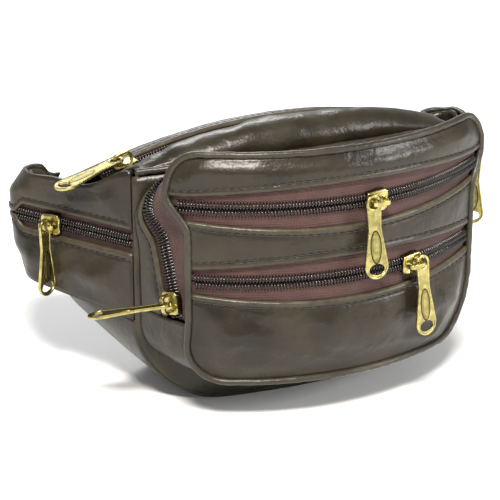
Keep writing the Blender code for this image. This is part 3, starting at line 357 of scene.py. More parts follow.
WING_ZIP_HEIGHT = 0.073
WING_DIP = 0.0105  # of the wing's top edge, behind its seam
WING_DIP_RUN = 0.026
WING_SLOT = 0.0052  # half the height of its zip's slot
WING_ZIP_INSET = 0.004
WEBBING_WIDTH = 0.030
WEBBING = 0.0015
BELT_HEIGHT = 0.066  # middle of the belt above the base
SLIDER_LENGTH = 0.0100
SLIDER_PLATE = 0.0010
SLIDER_CLEARANCE = 0.0003
STRIP_GAP = 0.0006  # between the pouch's slider and the leather strip behind its zip
TAPE_END_GAP = 0.0007  # between the pouch's front tape and the inside of the face's leather
TOP_SEAM_GAP = 0.0003  # between the top front strip and the inside of the main front panel
BRIDGE_RISE = 0.0032  # clear height under the slider's bridge
BRIDGE_BAR = 0.0012
BRIDGE_WIDTH = 0.0020
BRIDGE_LEG_OFFSET = 0.0034  # of each leg from the middle of the slider
UPPER_REST = 0.0085  # where the two sliders of the face rest, along the curve from its middle
LOWER_REST = 0.0270
WING_SLIDER_REST = 0.041  # from the wing's seam
MAIN_PULL_TURN = math.radians(20)  # the main pull lies turned towards the front
POUCH_PULL_TURN = math.radians(-49)  # the pouch's pull points outwards and a little back
PULL_LENGTH = 0.0345
PULL_TILT = math.radians(8)  # of a flat pull off the panel that it hangs over
PULL_NECK = 0.0034  # half widths
PULL_LOBE = 0.0046
PULL_THICKNESS = 0.0013
PULL_HOLE = 0.0022  # half the size of the hole that the bridge runs through
PULL_RIM = 0.0013  # metal around that hole
LOOP_GAP = 0.0034  # between the two layers of webbing around a bar
BUCKLE_GAP = 0.0004
BUCKLE_MOUTH = 0.008  # x of the socket's mouth
STRAP_SLOT = 0.0060
STRAP_BAR = 0.0026
SOCKET_LENGTH = 0.0300  # cavity part of the socket half
HANK_START = 0.0475
HANK_LAYERS = 7

# %% Heights and depths that follow from them
MAIN_FRONT_Y = -MAIN_DEPTH / 2
BACK_Y = MAIN_DEPTH / 2
FACE_Y = MAIN_FRONT_Y - POUCH_DEPTH
POUCH_TOP = POUCH_BOTTOM + POUCH_HEIGHT
UPPER_ZIP = POUCH_TOP - UPPER_ZIP_DROP
LOWER_ZIP = UPPER_ZIP - ZIP_SPACING
FLARE_START = UPPER_ZIP - 0.011
TAPE_DEPTH = LEATHER + TOUCH_GAP  # outer face of a tape below the leather's outer face
SLIDER_HALF_WIDTH = COIL_HALF_WIDTH + SLIDER_CLEARANCE + SLIDER_PLATE
MAIN_ZIP_Y = 0.30 * MAIN_DEPTH / 2
POUCH_ZIP_LOW = 0.046  # lower ends of the pouch's own zip
POUCH_ZIP_LOW_SHARE = 0.24  # of the gusset's depth, from the face
POUCH_ZIP_HIGH_SHARE = 0.62
WING_SIN = math.sin(math.radians(WING_ANGLE))
WING_COS = math.cos(math.radians(WING_ANGLE))
POUCH_TAPE_DEPTH = LEATHER * 0.7 + TOUCH_GAP * 2
GUSSET_START = PIPING_RADIUS + SEAM_GAP
print("face at y", FACE_Y, "top zip at z", UPPER_ZIP)

# %% The pouch's surfaces


def mix(a, b, share):
    return a + (b - a) * share


def smooth(x):
    x = min(max(x, 0.0), 1.0)
    return x * x * (3 - 2 * x)


def face_setback(z):
    """The pouch's face leans back towards its top edge and tucks under towards its bottom edge."""
    top = smooth((z - UPPER_ZIP - 0.010) / (POUCH_TOP - UPPER_ZIP - 0.008)) * FACE_LEAN
    bottom = smooth((LOWER_ZIP - 0.014 - z) / (LOWER_ZIP - 0.014 - POUCH_BOTTOM)) * FACE_TUCK
    return top + bottom


def on_face(along, z, depth=0.0):
    """A point of the pouch's face, at arc length along from its middle, depth metres inside it."""
    angle = along / PANEL_RADIUS
    reach = PANEL_RADIUS - depth
    back = face_setback(z)
    return Vector((reach * math.sin(angle), FACE_Y + PANEL_RADIUS - reach * math.cos(angle) + back, z))


def face_normal(along):
    angle = along / PANEL_RADIUS
    return Vector((math.sin(angle), -math.cos(angle), 0))


def main_front_y(x):
    return MAIN_FRONT_Y + MAIN_BOW * (x / MAIN_HALF_WIDTH) ** 2


def side_half_width(z):
    """Half the width of the pouch's face at height z, without its rounded corners."""
    corner = POUCH_TOP - POUCH_TOP_CORNER
    return POUCH_HALF_WIDTH + POUCH_FLARE * smooth((z - FLARE_START) / (corner - FLARE_START))


def corner_inset(distance, radius):
    """How far a rounded corner lies inside its straight side, at a distance from the end edge."""
    if distance >= radius:
        return 0.0
    return radius - math.sqrt(max(radius**2 - (radius - distance) ** 2, 0.0))


def face_half_width(z, inset):
    """Half the width of the face at z, kept inset metres inside its outline."""
    top, bottom = POUCH_TOP - inset - z, z - POUCH_BOTTOM - inset
    rounding = corner_inset(top, POUCH_TOP_CORNER) + corner_inset(bottom, POUCH_BOTTOM_CORNER)
    return side_half_width(z) - inset - rounding


def pouch_edge(q):
    """(half width, height) of one side of the face's outline, from its bottom centre at q 0 to its top."""
    bottom_line = POUCH_HALF_WIDTH - POUCH_BOTTOM_CORNER
    top_width = side_half_width(POUCH_TOP)
    top_line = top_width - POUCH_TOP_CORNER
    low, high = POUCH_BOTTOM + POUCH_BOTTOM_CORNER, POUCH_TOP - POUCH_TOP_CORNER
    lengths = (bottom_line, POUCH_BOTTOM_CORNER * 1.571, high - low, POUCH_TOP_CORNER * 1.571, top_line)
    left = q * sum(lengths)
    if left <= lengths[0]:
        return left, POUCH_BOTTOM
    left -= lengths[0]
    if left <= lengths[1]:
        turn = left / POUCH_BOTTOM_CORNER
        out, down = POUCH_BOTTOM_CORNER * math.sin(turn), POUCH_BOTTOM_CORNER * math.cos(turn)
        return bottom_line + out, low - down
    left -= lengths[1]
    if left <= lengths[2]:
        return side_half_width(low + left), low + left
    left -= lengths[2]
    if left <= lengths[3]:
        turn = left / POUCH_TOP_CORNER
        return top_line + POUCH_TOP_CORNER * math.cos(turn), high + POUCH_TOP_CORNER * math.sin(turn)
    left -= lengths[3]
    return max(top_line - left, 0.0), POUCH_TOP


def root_top(x):
    """Height of the pouch's top seam on the main front panel, under that panel's own piping."""
    return MAIN_TOP - MAIN_TOP_DROP * (x / MAIN_HALF_WIDTH) ** 2 - ROOT_BELOW_SEAM


def outline(mark, root=False):
    """(x along the surface, z) of the left half of the face's outline or, with root, of its seam.

    Mark 0 is the bottom centre, 1 and 2 are the ends of the left side, 3 ends the top corner, and
    4 is the top centre. The seam is where the pouch joins the main front panel.
    """
    width = POUCH_HALF_WIDTH + (POUCH_ROOT_SPREAD if root else 0.0)
    flare = POUCH_ROOT_FLARE if root else POUCH_FLARE
    low, high = POUCH_BOTTOM + POUCH_BOTTOM_CORNER, POUCH_TOP - POUCH_TOP_CORNER
    flat = width - POUCH_BOTTOM_CORNER
    line = width + flare - POUCH_TOP_CORNER
    drop = POUCH_TOP - root_top(line) if root else 0.0
    if mark <= 1:
        left = mark * (flat + POUCH_BOTTOM_CORNER * math.pi / 2)
        if left <= flat:
            return -left, low - POUCH_BOTTOM_CORNER
        turn = (left - flat) / POUCH_BOTTOM_CORNER
        return -flat - POUCH_BOTTOM_CORNER * math.sin(turn), low - POUCH_BOTTOM_CORNER * math.cos(turn)
    if mark <= 2:
        z = mix(low, high, mark - 1)
        spread = flare * smooth((z - FLARE_START) / (high - FLARE_START))
        return -width - spread, z - drop * smooth(mark - 1)
    if mark <= 3:
        turn = (mark - 2) * math.pi / 2
        return -line - POUCH_TOP_CORNER * math.cos(turn), high - drop + POUCH_TOP_CORNER * math.sin(turn)
    x = -line * (4 - mark)
    return x, root_top(x) if root else POUCH_TOP


def gusset(mark, share, depth=0.0):
    """A point of the pouch's side wall: share 0 at the face, 1 at its root. Marks over 4 mirror."""
    mirror = mark > 4
    spot = 8 - mark if mirror else mark
    along, z = outline(spot)
    near = on_face(along, z)
    near.y += GUSSET_START
    x, root_z = outline(spot, True)
    far = Vector((x, main_front_y(x) - TOUCH_GAP - SEAM_GAP, root_z))
    point = near.lerp(far, share)
    if mirror:
        point.x = -point.x
    if depth:
        point -= gusset_normal(mark, share) * depth
    return point


def gusset_normal(mark, share):
    step = 0.01
    along = gusset(mark + step, share) - gusset(mark - step, share)
    across = gusset(mark, min(share + step, 1.0)) - gusset(mark, max(share - step, 0.0))
    return along.cross(across).normalized()


def low_mark():
    """The mark of the height at which the pouch's own zip ends."""
    low, high = POUCH_BOTTOM + POUCH_BOTTOM_CORNER, POUCH_TOP - POUCH_TOP_CORNER
    return 1 + (POUCH_ZIP_LOW - low) / (high - low)


def zip_share(mark):
    """Where the pouch's zip lies across its side wall: near the face low down, further back on top."""
    spot = 8 - mark if mark > 4 else mark
    start, end = low_mark(), 2.0
    return mix(POUCH_ZIP_LOW_SHARE, POUCH_ZIP_HIGH_SHARE, min((spot - start) / (end - start), 1.0))


def strip_share(mark):
    """Where the strip behind the pouch's zip starts across the side wall, clear of the slider."""
    depth = (gusset(mark, 1.0) - gusset(mark, 0.0)).length
    return zip_share(mark) + (SLIDER_HALF_WIDTH + STRIP_GAP) / depth

# %% The wings' and the main compartment's surfaces


def wing_line(along, z, depth=0.0):
    """A point of the left wing's outer side: back from its seam, round its fold, behind the pack."""
    rise = z - WING_ZIP_HEIGHT
    straight = WING_STRAIGHT + min(rise, 0.0) * WING_FOLD_LEAN - max(rise, 0.0) ** 2 * WING_FOLD_CURVE
    radius = WING_FOLD_RADIUS + (WING_STRAIGHT - straight) * WING_SIN / (1 + WING_COS)
    start = Vector((-MAIN_HALF_WIDTH - SEAM_GAP, main_front_y(MAIN_HALF_WIDTH) + LEATHER / 2, z))
    turn_length = math.radians(WING_FOLD_END - WING_ANGLE) * radius
    run = min(along, straight)
    point = start + Vector((-WING_COS, WING_SIN, 0)) * run
    angle = math.radians(WING_ANGLE)
    if along > straight:
        centre = point + Vector((WING_SIN, WING_COS, 0)) * radius
        angle += min(along - straight, turn_length) / radius
        point = centre - Vector((math.sin(angle), math.cos(angle), 0)) * radius
        rest = max(along - straight - turn_length, 0.0)
        point += Vector((-math.cos(angle), math.sin(angle), 0)) * rest
    return point + Vector((math.sin(angle), math.cos(angle), 0)) * depth
WING_LENGTH = WING_STRAIGHT + math.radians(WING_FOLD_END - WING_ANGLE) * WING_FOLD_RADIUS + WING_TAIL


def wing_top(along):
    end = BELT_HEIGHT + WEBBING_WIDTH / 2 + WING_END_MARGIN
    root = MAIN_TOP - MAIN_TOP_DROP + 0.001
    level = root - WING_DIP * smooth(along / WING_DIP_RUN)
    return mix(level, end, smooth((along - WING_STRAIGHT + 0.010) / 0.024))


def wing_bottom(along):
    """The wing's lower edge follows the bottom gusset's to the back panel, then rises to the webbing."""
    end = BELT_HEIGHT - WEBBING_WIDTH / 2 - WING_END_MARGIN
    slope = (BACK_CORNER[1] - FRONT_CORNER[1]) / MAIN_DEPTH * WING_SIN
    return min(FRONT_CORNER[1] + TOUCH_GAP * 2 + along * slope, end)


def mirrored(point, side):
    return Vector((point.x * side, point.y, point.z))


def top_arc(x):
    """Height of the main zip's tape at x: a circle about an axis along Y."""
    return TOP_ARC_HEIGHT - TOP_ARC_RADIUS + math.sqrt(TOP_ARC_RADIUS**2 - x * x)


def top_half_width(y):
    """Where the top panels meet the wings, which run back and outwards."""
    root = main_front_y(MAIN_HALF_WIDTH)
    return MAIN_HALF_WIDTH - LEATHER * 1.6 + max(y - root, 0.0) * WING_COS / WING_SIN


def main_zip_reach():
    return top_half_width(MAIN_ZIP_Y - MAIN_TAPE_HALF_WIDTH) - 0.002


def main_seam_height(x):
    return MAIN_TOP - MAIN_TOP_DROP * (x / MAIN_HALF_WIDTH) ** 2


def corner_of(share):
    """Run, rise and fullness of the main compartment's lower corners: share 0 is its front."""
    return [mix(FRONT_CORNER[k], BACK_CORNER[k], share) for k in range(3)]


def main_half_width(z, width, share):
    """Half the width, at height z, of an outline that is width wide above its lower corners."""
    run, rise, full = corner_of(share)
    below = min(max(1 - z / rise, 0.0), 1.0)
    return width - run + run * (1 - below**full) ** (1 / full)
BACK_WIDTH = top_half_width(BACK_Y) - WING_THICKNESS - SEAM_GAP
print("wing length along its middle", round(WING_LENGTH, 4))

# %% [markdown]
# Real panels aren't bare formulas: an edge that faces a zip is folded under and stitched 3 mm in, so it
# has a rounded lip and a groove, and the stuffing pushes the leather out between the seams and leaves
# it slightly wrinkled. The shell builder lays a fine grid on a formula, with rows close together at
# the lips, moves each point along the surface's normal by that relief, and closes the back and sides.

# %% Shells with folded edges
STITCH_IN = 0.0030  # of a seam from its folded edge
LIP_RADIUS = 0.0010
GROOVE = 0.00050
GROOVE_WIDTH = 0.0006
BROAD, FINE, GATHERED = 0.0009, 0.00035, 0.00022  # heights of the leather's wrinkles
LIP_ROWS = (0.0, 0.00015, 0.00045, 0.0010, 0.0018, 0.0024, 0.0030, 0.0036, 0.0044, 0.0060)
stitch_lines = []


def ruler(length, step, folded_start, folded_end):
    """Shares of a length, close together near a folded edge."""
    start = [d for d in LIP_ROWS if d < length / 2] if folded_start else [0.0]
    end = [length - d for d in LIP_ROWS if d < length / 2] if folded_end else [length]
    count = max(1, round((end[-1] - start[-1]) / step))
    middle = [mix(start[-1], end[-1], k / count) for k in range(1, count)]
    return [d / length for d in start + middle + end[::-1]]


def lip(distance):
    """Relief of a folded and stitched edge: round at the very edge, with a groove where it is sewn."""
    edge = 0.0
    if distance < LIP_RADIUS:
        edge = LIP_RADIUS - math.sqrt(LIP_RADIUS**2 - (LIP_RADIUS - distance) ** 2)
    roll = 0.0002 * math.exp(-((distance - 0.0016) / 0.0008) ** 2)
    return roll - edge - GROOVE * math.exp(-((distance - STITCH_IN) / GROOVE_WIDTH) ** 2)


def wrinkle(place, size, seed):
    """Smooth noise from -1 to 1 with features about this size."""
    return noise.noise(place / size + Vector((seed, seed * 0.7, -seed)))


def closed_mesh(name, outer, inner, columns, rows):
    """A closed mesh from the points of its outer and inner sides, column by column."""
    count = columns * rows
    faces = []
    for i in range(columns - 1):
        for j in range(rows - 1):
            a, b = i * rows + j, (i + 1) * rows + j
            faces += [(a, b, b + 1, a + 1), (a + 1 + count, b + 1 + count, b + count, a + count)]
    border = [i * rows for i in range(columns)] + [(columns - 1) * rows + j for j in range(1, rows)]
    border += [i * rows + rows - 1 for i in range(columns - 2, -1, -1)] + list(range(rows - 2, 0, -1))
    faces += [(b, a, a + count, b + count) for a, b in zip(border, border[1:] + border[:1])]
    mesh = bpy.data.meshes.new(name)
    mesh.from_pydata([tuple(p) for p in outer + inner], [], faces)
    return mesh


def shell(name, point, size, folded, finish=cowhide, wall=LEATHER, puff=0.001, rough=1.0, step=0.0022,
          creases=()):
    """A closed panel on point(u, v). folded names its stitched edges, among left, right, low and high.

    size is its length along u and v. puff is how far its stuffing lifts it, rough scales its wrinkles,
    and each crease is (start, end, width, height) between two points in space.
    """
    us = ruler(size[0], step, "left" in folded, "right" in folded)
    vs = ruler(size[1], step, "low" in folded, "high" in folded)
    grid = [[point(u, v) for v in vs] for u in us]
    columns, rows = len(us), len(vs)
    outer, inner, rub = [], [], []
    for i in range(columns):
        for j in range(rows):
            here = grid[i][j]
            along = grid[min(i + 1, columns - 1)][j] - grid[max(i - 1, 0)][j]
            across = grid[i][min(j + 1, rows - 1)] - grid[i][max(j - 1, 0)]
            normal = along.cross(across).normalized()
            ends = {"left": grid[0][j], "right": grid[-1][j], "low": grid[i][0], "high": grid[i][-1]}
            distances = {side: (here - end).length for side, end in ends.items()}
            edge = min([distances[side] for side in folded], default=1.0)
            seam = min(distances.values())
            inside = smooth((seam - 0.002) / 0.014)
            beside = smooth((edge - 0.0035) / 0.002) * (1 - smooth((edge - 0.006) / 0.008))
            relief = (lip(edge) if folded else 0.0) + puff * inside
            relief += rough * BROAD * wrinkle(here, 0.019, 3.1) * inside
            relief += rough * FINE * wrinkle(here, 0.0075, 9.7) * smooth((seam - 0.0035) / 0.006)
            relief += rough * GATHERED * wrinkle(here, 0.0042, 5.3) * beside
            for start, end, width, height in creases:
                run = end - start
                share = min(max((here - start).dot(run) / run.length_squared, 0.0), 1.0)
                off = (here - start - run * share).length / width
                relief += height * math.exp(-off * off) * math.sin(math.pi * mix(0.15, 0.85, share)) * inside
            outer.append(here + normal * relief)
            inner.append(here - normal * wall)
            # Paler near a folded edge, partly as rubbed wear and partly as a painted highlight; plain panel
            # edges get a little of it.
            rub.append(math.exp(-edge / 0.0012))
            if seam == 0.0 and not folded:
                rub[-1] = 0.3
    for side in folded:
        stitch_lines.append(seam_line(grid, us, vs, side))
    mesh = closed_mesh(name, outer, inner, columns, rows)
    mesh.attributes.new("rub", "FLOAT", "POINT").data.foreach_set("value", rub + [0.0] * len(inner))
    return mesh_object(name, mesh, finish)


def seam_line(grid, us, vs, side):
    """The (place, normal) points of the sewing beside one folded edge."""
    def at(u, v):
        i = min(max(sum(x <= u for x in us) - 1, 0), len(us) - 2)
        j = min(max(sum(y <= v for y in vs) - 1, 0), len(vs) - 2)
        a, b = (u - us[i]) / (us[i + 1] - us[i]), (v - vs[j]) / (vs[j + 1] - vs[j])
        low, high = grid[i][j].lerp(grid[i + 1][j], a), grid[i][j + 1].lerp(grid[i + 1][j + 1], a)
        normal = (grid[i + 1][j] - grid[i][j]).cross(grid[i][j + 1] - grid[i][j]).normalized()
        return low.lerp(high, b) - normal * GROOVE * 0.9, normal

    line = []
    if side in ("low", "high"):
        for i in range(len(us)):
            share = STITCH_IN / (grid[i][-1] - grid[i][0]).length
            line.append(at(us[i], share if side == "low" else 1 - share))
    else:
        for j in range(len(vs)):
            share = STITCH_IN / (grid[-1][j] - grid[0][j]).length
            line.append(at(share if side == "left" else 1 - share, vs[j]))
    return line


def place_piece(obj, body, slot, *nodes):
    """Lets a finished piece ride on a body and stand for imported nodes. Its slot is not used."""
    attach(obj, body)
    if nodes:
        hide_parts(*nodes)
    return obj


def panel(name, node, point, size, folded, slot="leather", **looks):
    """A shell of the pack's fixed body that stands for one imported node."""
    return place_piece(shell(name, point, size, folded, **looks), "pack", slot, node)

# %% [markdown]
# The pouch's face is three panels: a band over the top pocket, a band between the two pockets, and the
# deep panel below. Their edges along the zips gape in the middle, where the full pouch pulls them
# apart. The lower panel is the most stuffed, and its leather bunches below the zip.

# %% The pouch's face
FACE_INSET = PIPING_RADIUS * 0.35  # the panels run in under the piping


def slot_edge(zip_height, side, along):
    """Height of one edge of a face zip's slot."""
    gape = SLOT_END + SLOT_GAPE * math.cos(math.pi / 2 * min(abs(along) / POUCH_HALF_WIDTH, 1.0))
    return zip_height + side * gape


def face_band(low, high):
    def point(u, v):
        width = face_half_width(mix(low(0.0), high(0.0), v), FACE_INSET)
        along = width * (2 * u - 1)
        z = mix(low(along), high(along), v)
        return on_face(face_half_width(z, FACE_INSET) * (2 * u - 1), z)

    return point


top_edge, bottom_edge = POUCH_TOP - FACE_INSET, POUCH_BOTTOM + FACE_INSET
top_band = face_band(lambda s: slot_edge(UPPER_ZIP, 1, s), lambda s: top_edge)
middle_band = face_band(lambda s: slot_edge(LOWER_ZIP, 1, s), lambda s: slot_edge(UPPER_ZIP, -1, s))
lower_panel = face_band(lambda s: bottom_edge, lambda s: slot_edge(LOWER_ZIP, -1, s))


def fold(along_1, z_1, along_2, z_2, width, height):
    """A crease of the face between two places on it."""
    return (on_face(along_1, z_1), on_face(along_2, z_2), width, height)


lower_creases = (
    fold(-0.052, 0.050, -0.020, 0.046, width=0.0022, height=-0.0012),
    fold(-0.056, 0.043, -0.010, 0.036, width=0.0035, height=0.0012),
    fold(0.030, 0.052, 0.046, 0.044, width=0.0016, height=0.0011),
    fold(0.036, 0.050, 0.052, 0.040, width=0.0015, height=0.0010),
    fold(0.046, 0.050, 0.056, 0.040, width=0.0014, height=0.0010),
    fold(0.020, 0.048, 0.026, 0.034, width=0.0020, height=-0.0008),
    fold(-0.040, 0.028, 0.010, 0.025, width=0.0040, height=0.0014),
    fold(0.010, 0.030, 0.045, 0.030, width=0.0028, height=0.0010),
    fold(-0.046, 0.038, -0.052, 0.018, width=0.0030, height=-0.0014),
    fold(-0.030, 0.042, 0.000, 0.030, width=0.0026, height=-0.0013),
    fold(0.048, 0.036, 0.034, 0.020, width=0.0030, height=0.0014),
    fold(0.040, 0.032, 0.058, 0.026, width=0.0022, height=-0.0010),
)
panel("pouch_top_panel", "pouch_top_band", top_band, (0.150, 0.015), ["low"],
      puff=0.0030, rough=1.2, step=0.0018)
panel("pouch_middle_panel", "pouch_middle_band", middle_band, (0.140, 0.017), ["low", "high"],
      puff=0.0007, rough=0.7, step=0.0018)
lower_front = panel("pouch_lower_front", "pouch_lower_panel", lower_panel, (0.137, 0.036), ["high"],
                    puff=0.0028, rough=1.6, step=0.0018, creases=lower_creases)
print("face panels:", [round(v, 4) for v in (top_edge, UPPER_ZIP, LOWER_ZIP, bottom_edge)])

# %% [markdown]
# The side wall behind the face has a zip of its own running over it, so it is a narrow strip behind
# that zip, plus a plain strip under the pouch. The wall is slack, and dips between its seams.

# %% The pouch's side wall
zip_start = low_mark()
WALL_FRONT, WALL_BACK = 0.02, 0.985  # shares of the side wall that its leather covers


def rear_wall(u, v):
    mark = mix(zip_start, 8 - zip_start, u)
    return gusset(mark, mix(strip_share(mark), WALL_BACK, v))


def under_wall(u, v):
    end = zip_start - 0.01
    mark = mix(-end, end, u)
    point = gusset(abs(mark), mix(WALL_FRONT, WALL_BACK, v))
    return Vector((-point.x, point.y, point.z)) if mark < 0 else point


panel("pouch_rear_wall", "pouch_gusset_rear_strip", rear_wall, (0.270, 0.012), ["low"],
      wall=LEATHER * 0.7, puff=0.0006, step=0.0016)
panel("pouch_under_wall", "pouch_lower_gusset", under_wall, (0.190, 0.034), [],
      wall=LEATHER * 0.7, puff=0.0008)


POCKET_ROOM = 0.0040  # between the face's sliders and the lining behind them


def divider(u, v):
    z = mix(POUCH_BOTTOM + 0.006, POUCH_TOP - 0.013, v)
    depth = TAPE_DEPTH + TAPE + SLIDER_PLATE + SLIDER_CLEARANCE + POCKET_ROOM
    return on_face(face_half_width(z, 0.009) * (2 * u - 1), z, depth)


panel("pouch_pocket_lining", "pouch_divider", divider, (0.115, 0.080), [], slot="lining",
      finish=lining_cloth, wall=LINING, puff=0.0, rough=0.5, step=0.004)
print("the pouch's zip starts at mark", round(zip_start, 3))

# %% [markdown]
# The main compartment has a front panel, mostly behind the pouch, a padded back that lies on the
# wearer, and one long strip for its sides and base. Two strips hold its zip on top: what the pack
# holds pushes the front one up above the zip, and the rear one slopes down to the back.

# %% The main compartment
BASE = TOUCH_GAP + LEATHER
ZIP_EDGE = COIL_HALF_WIDTH + 0.0024
CORNER_WAY = 0.36  # the share of the base strip's length that goes into each lower corner
BACK_DROP = 0.0055  # of the back's top edge below the main zip
REAR_SAG = 0.0050  # of the top's rear strip, at its back edge


def spread(v):
    """Rows close together near the base, where the outline turns fastest."""
    return 0.35 * v + 0.65 * v * v


def main_front(u, v):
    z = mix(BASE, MAIN_TOP - MAIN_TOP_DROP - PIPING_RADIUS, spread(v))
    x = main_half_width(z - BASE, MAIN_HALF_WIDTH, 0.0) * (2 * u - 1)
    return Vector((x, main_front_y(x), z + v * v * (main_seam_height(x) - MAIN_TOP + MAIN_TOP_DROP)))


def back_top(x):
    return top_arc(x) - BACK_DROP


def main_back(u, v, inset=0.0, depth=0.0):
    z = mix(BASE + inset, back_top(BACK_WIDTH) - inset, spread(v))
    x = (main_half_width(z - BASE, BACK_WIDTH, 1.0) - inset * 1.5) * (1 - 2 * u)
    return Vector((x, BACK_Y - depth, z + v * v * (back_top(x) - back_top(BACK_WIDTH))))


def base_strip(u, v):
    """The sides and the base in one strip, from the left wing's lower edge round to the right one's."""
    share = 1 - v
    run, rise, full = corner_of(share)
    width = mix(MAIN_HALF_WIDTH - SEAM_GAP, BACK_WIDTH + LEATHER * 1.6, share)
    way = min(u, 1 - u)
    x, z = (width - run) * (0.5 - way) / (0.5 - CORNER_WAY), 0.0
    if way < CORNER_WAY:
        turn = way / CORNER_WAY * math.pi / 2
        x = width - run + run * math.cos(turn) ** (2 / full)
        z = rise * (1 - math.sin(turn) ** (2 / full))
    near = main_front_y(min(x, MAIN_HALF_WIDTH)) + LEATHER * 0.5
    return Vector((-x if u < 0.5 else x, mix(near, BACK_Y - TOUCH_GAP, share), z))


STUFFED_RISE = 0.0066  # of the top's front strip, pushed up by what the pack holds
SEAM_IN = max(PIPING_RADIUS + SEAM_GAP, LEATHER + TOP_SEAM_GAP)


def top_front(u, v):
    y = mix(main_front_y(0) + SEAM_IN, MAIN_ZIP_Y - ZIP_EDGE, v)
    x = (top_half_width(y) - SEAM_GAP) * (2 * u - 1)
    y = mix(main_front_y(x) + SEAM_IN, MAIN_ZIP_Y - ZIP_EDGE, v)
    bulge = max(math.sin(math.pi * v**0.66), 0.0) ** 0.9 * (1 - abs(x / top_half_width(y)) ** 2.7)
    crown = (TOP_CROWN + STUFFED_RISE) * bulge
    return Vector((x, y, mix(main_seam_height(x) + 0.0006, top_arc(x) + TAPE_DEPTH, v) + crown))


def top_rear(u, v):
    y = mix(MAIN_ZIP_Y + ZIP_EDGE, BACK_Y, v)
    x = (top_half_width(y) - SEAM_GAP) * (2 * u - 1)
    drop = REAR_SAG * v**3 * (1 - (2 * u - 1) ** 4)
    return Vector((x, y, top_arc(x) + TAPE_DEPTH - drop))


panel("main_front", "main_front_panel", main_front, (0.150, 0.105), [], puff=0.0, rough=0.9)
panel("main_back", "main_back_panel", main_back, (0.183, 0.10), [], puff=0.0008, step=0.0026)
panel("main_base_and_sides", "main_bottom_gusset", base_strip, (0.290, 0.050), [],
      puff=0.0, rough=0.0, step=0.003)
panel("main_top_front", "main_top_front_strip", top_front, (0.165, 0.025), ["high"],
      puff=0.0012, rough=1.8, step=0.002)
panel("main_top_rear", "main_top_rear_strip", top_rear, (0.190, 0.013), ["low"],
      puff=0.0006, rough=0.8, step=0.002)
print("main compartment", round(2 * BACK_WIDTH, 4), "m wide at its back")

# %% [markdown]
# Each wing is a flat pocket: an outer panel in two halves with a zip between them, and an inner panel
# that closes it. The leather bends round a tight fold, so it wrinkles up and down along it, and its
# top edge stands in small lumps there.

# %% The wings
TOP_RUN = (BACK_Y - main_front_y(MAIN_HALF_WIDTH)) / WING_SIN
LUMP = 0.0022  # height of the lumps in the wing's top edge
RIM_DROP = 0.0035  # of that edge at the wing's end


def wing_slot(along):
    """Half the height of the wing's zip slot, which closes where the tapes end."""
    return mix(WING_SLOT, LEATHER / 4, smooth((along - WING_STRAIGHT + 0.0035) / 0.006))


def wing_rim(along):
    """The wing's top edge, bunched up in lumps where it turns round the fold, and lower at its end."""
    lumps = LUMP * wrinkle(Vector((along, 0.0, 0.0)), 0.0085, 4.4) + 0.0012
    bunched = smooth((along - 0.030) / 0.020) * (1 - smooth((along - WING_LENGTH + 0.012) / 0.010))
    return wing_top(along) + lumps * bunched - RIM_DROP * smooth((along - WING_LENGTH + 0.014) / 0.012)


def above_zip(along):
    return WING_ZIP_HEIGHT + wing_slot(along)


def below_zip(along):
    return WING_ZIP_HEIGHT - wing_slot(along)


def wing_half(side, low, high):
    """A part of the wing's outer panel between two edges, whose heights depend on the way along."""
    def point(u, v):
        along = WING_LENGTH * (u if side < 0 else 1 - u)
        return mirrored(wing_line(along, mix(low(along), high(along), v)), side)

    return point


def wing_inner(side):
    def point(u, v):
        along = mix(WING_ZIP_INSET * 0.5, WING_LENGTH, u if side > 0 else 1 - u)
        tail = smooth((along - WING_STRAIGHT) / (WING_LENGTH - WING_STRAIGHT))
        full, near = mix(WING_THICKNESS, WING_END_THICKNESS, tail), LEATHER + TOUCH_GAP * 3.5 + LINING
        depth = mix(full, near, abs(2 * v - 1) ** mix(4.0, 12.0, tail))
        high = wing_rim(along) - mix(0.0095, 0.0012, smooth((along - TOP_RUN - 0.001) / 0.008))
        return mirrored(wing_line(along, mix(wing_bottom(along) + 0.0012, high, v), depth), side)

    return point


for name, side in (("left", 1), ("right", -1)):
    def wing_crease(start, z_1, end, z_2, width, height, side=side):
        first, last = wing_line(start, z_1), wing_line(end, z_2)
        return (mirrored(first, side), mirrored(last, side), width, height)

    upper_creases = (wing_crease(0.050, 0.098, 0.056, 0.080, width=0.0020, height=0.0012),
                     wing_crease(0.020, 0.098, 0.034, 0.084, width=0.0040, height=0.0012))
    lower_creases = (wing_crease(0.010, 0.060, 0.030, 0.045, width=0.0035, height=0.0014),
                     wing_crease(0.030, 0.064, 0.044, 0.050, width=0.0030, height=-0.0012),
                     wing_crease(0.050, 0.062, 0.056, 0.048, width=0.0020, height=0.0012))
    panel(f"{name}_wing_upper", f"{name}_wing_upper_panel", wing_half(side, above_zip, wing_rim),
          (0.092, 0.022), ["low"], puff=0.0014, rough=2.2, creases=upper_creases)
    panel(f"{name}_wing_lower", f"{name}_wing_lower_panel", wing_half(side, wing_bottom, below_zip),
          (0.092, 0.027), ["high"], puff=0.0018, rough=2.3, creases=lower_creases)
    inner = panel(f"{name}_wing_inner", f"{name}_wing_inner_panel", wing_inner(side),
                  (0.092, 0.045), [], slot="lining", wall=LINING, puff=0.0, rough=0.0)
    print(name, "wing built,", len(inner.data.polygons), "faces in its inner panel")

# %% [markdown]
# Piping is a cord wrapped in a strip of the same leather and caught in the seam. One runs round the
# pouch's face and one along the main compartment's top front edge. A curve with a round bevel makes
# it, with enough points for its corners, and it is turned to a mesh at the end.

# %% Piping
def plain_mesh(obj, name):
    """The evaluated object as a mesh of its own. The object that made it is removed."""
    bpy.context.view_layer.update()
    mesh = bpy.data.meshes.new_from_object(obj.evaluated_get(bpy.context.evaluated_depsgraph_get()))
    bpy.data.objects.remove(obj)
    mesh.name = name
    return mesh


